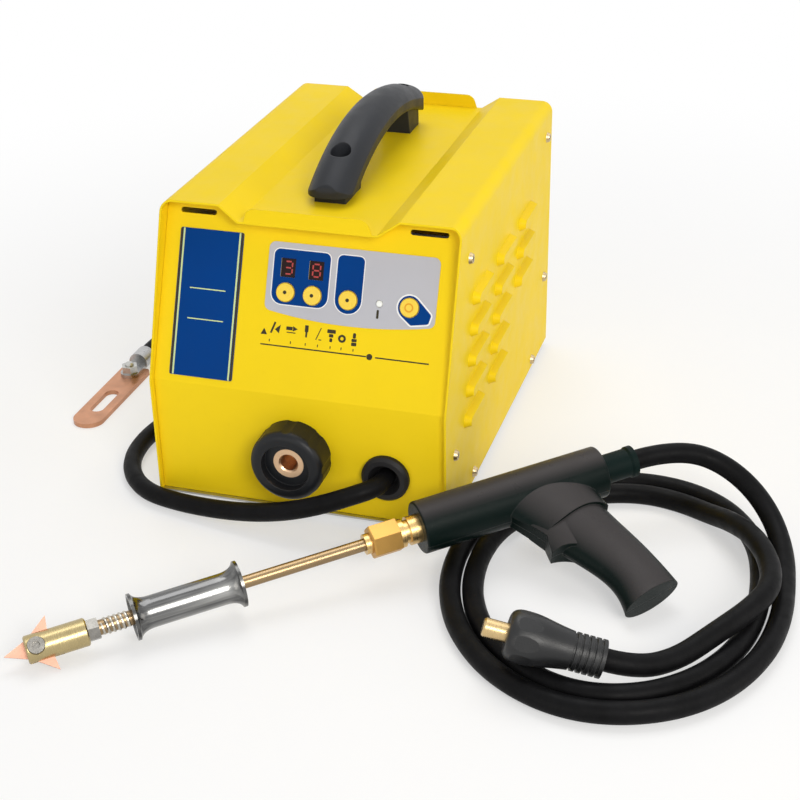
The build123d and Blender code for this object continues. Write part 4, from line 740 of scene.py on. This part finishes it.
def bar(x0, y0, x1, y1, width):
    """A straight stroke of a given width."""
    run = Vector((x1 - x0, y1 - y0))
    side = Vector((-run.y, run.x)).normalized() * width / 2
    ends = [(x0, y0, 1), (x0, y0, -1), (x1, y1, -1), (x1, y1, 1)]
    return [(x + sign * side.x, y + sign * side.y) for x, y, sign in ends]


def hull(points):
    """Convex outline round points."""
    def half(ordered):
        chain = []
        for p in ordered:
            while len(chain) > 1 and (
                (chain[-1][0] - chain[-2][0]) * (p[1] - chain[-2][1])
                - (chain[-1][1] - chain[-2][1]) * (p[0] - chain[-2][0])
            ) <= 0:
                chain.pop()
            chain.append(p)
        return chain[:-1]
    ordered = sorted(points)
    return half(ordered) + half(ordered[::-1])


HULL_STEPS = 48


def round_hull(circles, grow):
    """Convex outline round circles, each grown by the same amount."""
    return hull([p for x, y, radius in circles for p in disc(x, y, radius + grow, HULL_STEPS)])


def panel_film(name, loops, low, thickness, material, body=ROOT):
    """Thin piece on the leaning panel from closed loops; a loop inside another is a hole."""
    data = bpy.data.curves.new(name, "CURVE")
    data.dimensions = "2D"
    data.fill_mode = "BOTH"
    data.extrude = thickness / 2 * MM
    for loop in loops:
        spline = data.splines.new("POLY")
        spline.points.add(len(loop) - 1)
        for point, (x, y) in zip(spline.points, loop):
            point.co = (x * MM, y * MM, 0, 1)
        spline.use_cyclic_u = True
    drawn = add_object(name + "_drawn", data)
    bpy.context.view_layer.update()
    mesh = bpy.data.meshes.new_from_object(drawn.evaluated_get(bpy.context.evaluated_depsgraph_get()))
    bpy.data.objects.remove(drawn)
    mesh.name = name
    place = PANEL_ORIGIN + PANEL_OUT * (low + thickness / 2)
    axes = Matrix((Vector((1, 0, 0)), PANEL_UP, PANEL_OUT)).transposed().to_4x4()
    mesh.transform(Matrix.Translation(at(place)) @ axes)
    add_piece(name, mesh, material, body)


# Prints round the controls

FILM = 0.6
INK = 0.08
THIN_CORNER, LINE_CORNER, THIN_STEPS = 0.2, 0.3, 2
WINDOWS = [(-15.0, 95.0), (7.0, 95.0)]
WINDOW_WIDTH, WINDOW_HEIGHT, WINDOW_CORNER = 11.5, 14.0, 0.01
KEYS = {
    "key_left": (-15.5, 76.7),
    "key_right": (5.6, 76.4),
    "key_mode": (33.4, 76.0),
    "key_standby": (80.5, 75.6),
}
KEY_HOLE = 7.5
KEY_FACE = 2.5
KEY_DOT, KEY_DOT_STEPS = 1.4, 16
KEY_RING_OUTER, KEY_RING_INNER = 3.4, 2.3
OUTLINE_GAP = 0.1
OUTLINE = 0.7
DROP_OUTLINE = 1.1


def window_hole(x, y):
    """Opening over a display."""
    across, up = WINDOW_WIDTH / 2, WINDOW_HEIGHT / 2
    return rounded(x - across, y - up, x + across, y + up, WINDOW_CORNER, steps=1)


def field(name, left, low, right, high, foot, head, holes):
    """Blue field with a white outline."""
    def grown(by):
        return rounded(left - by, low - by, right + by, high + by, foot + by, head + by)
    panel_film(name + "_print", [grown(0), *holes], FILM, INK, blue)
    outline = [grown(OUTLINE_GAP + OUTLINE), grown(OUTLINE_GAP)]
    panel_film(name + "_outline", outline, FILM, INK, white_print)


setting_holes = [window_hole(x, y) for x, y in WINDOWS]
setting_holes += [disc(*KEYS[key], KEY_HOLE) for key in ("key_left", "key_right")]
field("setting", -26.5, 67.8, 17.5, 108.5, 8.0, 4.5, setting_holes)
field("mode", 23.2, 66.0, 43.6, 108.5, 10.0, 4.0, [disc(*KEYS["key_mode"], KEY_HOLE)])

# Drop-shaped field of the standby key, as circles that its outline runs round
sx, sy = KEYS["key_standby"]
drop = [(sx, sy, 8.7), (sx + 2.5, sy - 10.6, 2.0), (sx + 13.5, sy - 8.8, 2.0), (sx + 14.6, sy - 4.6, 2.0)]
drop_outline = [round_hull(drop, OUTLINE_GAP + DROP_OUTLINE), round_hull(drop, OUTLINE_GAP)]
panel_film("standby_print", [round_hull(drop, 0), disc(sx, sy, KEY_HOLE)], FILM, INK, blue)
panel_film("standby_outline", drop_outline, FILM, INK, white_print)

heat_mark = [rounded(56.0, 65.0, 57.8, 71.5, 0.85)]
panel_film("heat_mark", heat_mark, FILM, INK, dark_print_and_shade)
for key in ("key_left", "key_right", "key_mode"):
    dot = [disc(*KEYS[key], KEY_DOT, KEY_DOT_STEPS)]
    panel_film(key + "_mark", dot, KEY_FACE, INK, dark_print_and_shade, key + "_cap")
ring = [disc(sx, sy, KEY_RING_OUTER), disc(sx, sy, KEY_RING_INNER)]
panel_film("key_standby_mark", ring, KEY_FACE, INK, key_ring, "key_standby_cap")

# Stripes along the badge's long sides, and two thin rules
BADGE_LEFT, BADGE_RIGHT, BADGE_LOW, BADGE_HIGH = -103.0, -52.0, 5.5, 117.0
STRIPE_END = 0.3
STRIPES = [("dark", 0.3, 1.6, dark_print_and_shade), ("pale", 2.3, 1.3, pale_print)]
RULE_LEFT, RULE_RIGHT, RULE_WIDTH = -92.0, -63.0, 0.8
RULES_UP = (72.0, 49.0)
stripe_low, stripe_high = BADGE_LOW + STRIPE_END, BADGE_HIGH - STRIPE_END
for name, inset, width, material in STRIPES:
    left = BADGE_LEFT + inset
    right = BADGE_RIGHT - inset
    stripes = [
        rounded(start, stripe_low, start + width, stripe_high, THIN_CORNER, steps=THIN_STEPS)
        for start in (left, right - width)
    ]
    panel_film("badge_" + name + "_stripes", stripes, FILM, INK, material)
rules = [
    rounded(RULE_LEFT, up, RULE_RIGHT, up + RULE_WIDTH, LINE_CORNER, steps=THIN_STEPS) for up in RULES_UP
]
panel_film("badge_rules", rules, FILM, INK, pale_print)

# Scale of plain tool marks under the controls, on the paint
LINE_UP = 36.5
LINE_HALF = 0.5
LINE_DOT_X, LINE_DOT = 53.6, 2.3
TICK_XS = (-25, -8.3, 3.4, 13, 22.9, 31.4, 40.7)
TICK_LOW, TICK_HIGH, TICK_HALF = 39.0, 41.0, 0.35


def scale_strip(start, end):
    """Stretch of the scale's line."""
    return rounded(start, LINE_UP - LINE_HALF, end, LINE_UP + LINE_HALF, LINE_CORNER, steps=THIN_STEPS)


ticks = [
    rounded(x - TICK_HALF, TICK_LOW, x + TICK_HALF, TICK_HIGH, THIN_CORNER, steps=THIN_STEPS)
    for x in TICK_XS
]
scale_line = [scale_strip(-32, 51.0), disc(LINE_DOT_X, LINE_UP, LINE_DOT), scale_strip(58.0, 99.0)]
cone = [[(-32.4, 44), (-27.2, 44), (-29.8, 48.6)]]
rod_and_wedge = [bar(-24.4, 45.6, -21.4, 54.0, 1.5), [(-21.4, 48.6), (-18.0, 45.8), (-17.0, 52.4)]]
puller = [
    bar(-12.5, 50.4, -7.5, 50.4, 2.6), [(-7.2, 48.4), (-3.4, 50.4), (-7.2, 52.4)],
    bar(-12.0, 47.4, -5.0, 47.4, 0.7),
]
pin = [
    [(2.8, 45.2), (4.2, 45.2), (4.2, 48.8), (4.9, 49.6), (4.9, 54.2), (2.1, 54.2), (2.1, 49.6), (2.8, 48.8)],
]
wire = [bar(11.2, 44.4, 14.8, 53.4, 0.7), bar(13.4, 44.6, 15.6, 44.6, 0.7)]
stud = [
    rounded(19.6, 50.4, 26.2, 53.2, 0.6, steps=3), rounded(21.2, 47.4, 24.6, 49.8, 0.5, steps=3),
    rounded(21.8, 44.0, 24.0, 46.8, 0.5, steps=3),
]
washer = [disc(31.4, 47.4, 3.0), disc(31.4, 47.4, 1.3)]
rivet = [
    rounded(39.6, 48.6, 42.0, 52.6, 0.9, steps=3), rounded(38.8, 46.0, 42.8, 48.3, 0.6, steps=3),
    rounded(38.8, 43.0, 42.8, 45.6, 0.6, steps=3),
]
tool_marks = cone + rod_and_wedge + puller + pin + wire + stud + washer + rivet
panel_film("scale_print", scale_line + ticks + tool_marks, 0.0, INK, dark_print_and_shade)

# Segments of the two digits, lit where the digit needs them
SEGMENT_WIDTH = 1.1
DIGIT_LIFT = 0.02
FLAT_HALF, FLAT_UP = 2.0, 4.6
UPRIGHT_SIDE, UPRIGHT_START, UPRIGHT_END = 2.9, 0.7, 3.9
SEGMENTS = {}
for name, up in (("top", FLAT_UP), ("middle", 0), ("bottom", -FLAT_UP)):
    SEGMENTS[name] = ((-FLAT_HALF, up), (FLAT_HALF, up))
for name, x in (("left", -UPRIGHT_SIDE), ("right", UPRIGHT_SIDE)):
    SEGMENTS["upper_" + name] = ((x, UPRIGHT_START), (x, UPRIGHT_END))
    SEGMENTS["lower_" + name] = ((x, -UPRIGHT_END), (x, -UPRIGHT_START))
LIT = {
    "digit_left": ("top", "upper_right", "middle", "lower_right", "bottom"),
    "digit_right": tuple(SEGMENTS),
}
for (digit, lit), (wx, wy) in zip(LIT.items(), WINDOWS):
    strokes = [
        bar(wx + a[0], wy + a[1], wx + b[0], wy + b[1], SEGMENT_WIDTH)
        for part, (a, b) in SEGMENTS.items() if part in lit
    ]
    panel_film(digit, strokes, DIGIT_LIFT, INK, digit_red)


# Pieces built as meshes

def add_mesh(name, vertices, faces, material):
    """Piece of the unit from vertices in metres and faces."""
    mesh = bpy.data.meshes.new(name)
    mesh.from_pydata([tuple(v) for v in vertices], [], faces)
    add_piece(name, mesh, material, ROOT)


# Thread on the rod, from the jam nut to the hammer's stop, as places along the gun's axis
THREAD_FROM, THREAD_TO, THREAD_PITCH = -379.2, -357.4, 3.5
THREAD_ROOT, THREAD_CREST, THREAD_STEPS = 4.95, 6.1, 32
THREAD_PROFILE = ((-1.5, 0), (-0.45, 1), (0.45, 1), (1.5, 0))
THREAD_LEAST = 0.05


def add_thread():
    """Ridge that winds round the rod; its section has a flat crest, and its ends run out."""
    count = int((THREAD_TO - THREAD_FROM) / THREAD_PITCH * THREAD_STEPS)
    sides = len(THREAD_PROFILE)
    vertices = []
    for i in range(count + 1):
        turn = 2 * math.pi * i / THREAD_STEPS
        out = GUN_SIDE * math.cos(turn) + GUN_TOP * math.sin(turn)
        along = THREAD_FROM + THREAD_PITCH * i / THREAD_STEPS
        fade = min(1.0, i / THREAD_STEPS, (count - i) / THREAD_STEPS)
        crest = THREAD_ROOT + (THREAD_CREST - THREAD_ROOT) * max(THREAD_LEAST, fade)
        for step, high in THREAD_PROFILE:
            radius = crest if high else THREAD_ROOT
            vertices.append(at(GUN_REAR + GUN_AXIS * (along + step) + out * radius))
    faces = []
    for start in range(0, sides * count, sides):
        for j in range(sides):
            a = start + j
            b = start + (j + 1) % sides
            faces.append((a, a + sides, b + sides, b))
    faces.append(tuple(range(sides)))
    faces.append(tuple(sides * count + j for j in reversed(range(sides))))
    add_mesh("rod_thread", vertices, faces, thread_steel)


add_thread()


# Painted shade of the cross recesses in the heads of the case's screws, in metres

MERGE = 0.00001
CROSS_ARM = 0.0023
CROSS_HALF = 0.00045
CROSS_PROUD = 0.00005
CROSS_DEEP = 0.0003


def islands(data):
    """Places of the vertices of each separate shell of a mesh."""
    shape = bmesh.new()
    shape.from_mesh(data)
    bmesh.ops.remove_doubles(shape, verts=shape.verts, dist=MERGE)
    seen = set()
    found = []
    for start in shape.verts:
        if start in seen:
            continue
        seen.add(start)
        stack = [start]
        group = []
        while stack:
            vertex = stack.pop()
            group.append(vertex.co.copy())
            for edge in vertex.link_edges:
                other = edge.other_vert(vertex)
                if other not in seen:
                    seen.add(other)
                    stack.append(other)
        found.append(group)
    shape.free()
    return found


def cross_outline():
    """Outline of a cross, one arm after another."""
    arm = [(-CROSS_HALF, CROSS_HALF), (-CROSS_ARM, CROSS_HALF), (-CROSS_ARM, -CROSS_HALF)]
    outline = []
    for _ in range(4):
        outline += arm
        arm = [(-y, x) for x, y in arm]
    return outline


def add_painted_recess_shade():
    """Painted shade in each head's cross recess: a dark closed prism that stands a hair proud of it."""
    world = nodes["cover_screws"].matrix_world
    outline = cross_outline()
    count = len(outline)
    vertices = []
    faces = []
    for group in islands(nodes["cover_screws"].data):
        places = [world @ v for v in group]
        sign = 1 if places[0].x > CASE.x else -1
        face_x = max(sign * p.x for p in places) * sign
        y = (max(p.y for p in places) + min(p.y for p in places)) / 2
        z = (max(p.z for p in places) + min(p.z for p in places)) / 2
        outer = len(vertices)
        inner = outer + count
        for x in (face_x + sign * CROSS_PROUD, face_x - sign * CROSS_DEEP):
            vertices += [Vector((x, y + a, z + b)) for a, b in outline]
        sides = [
            (outer + i, outer + (i + 1) % count, inner + (i + 1) % count, inner + i) for i in range(count)
        ]
        ends = [tuple(reversed(range(outer, inner))), tuple(range(inner, inner + count))]
        faces += [face if sign < 0 else face[::-1] for face in sides + ends]
    add_mesh("screw_recess_shade", vertices, faces, dark_print_and_shade)


add_painted_recess_shade()
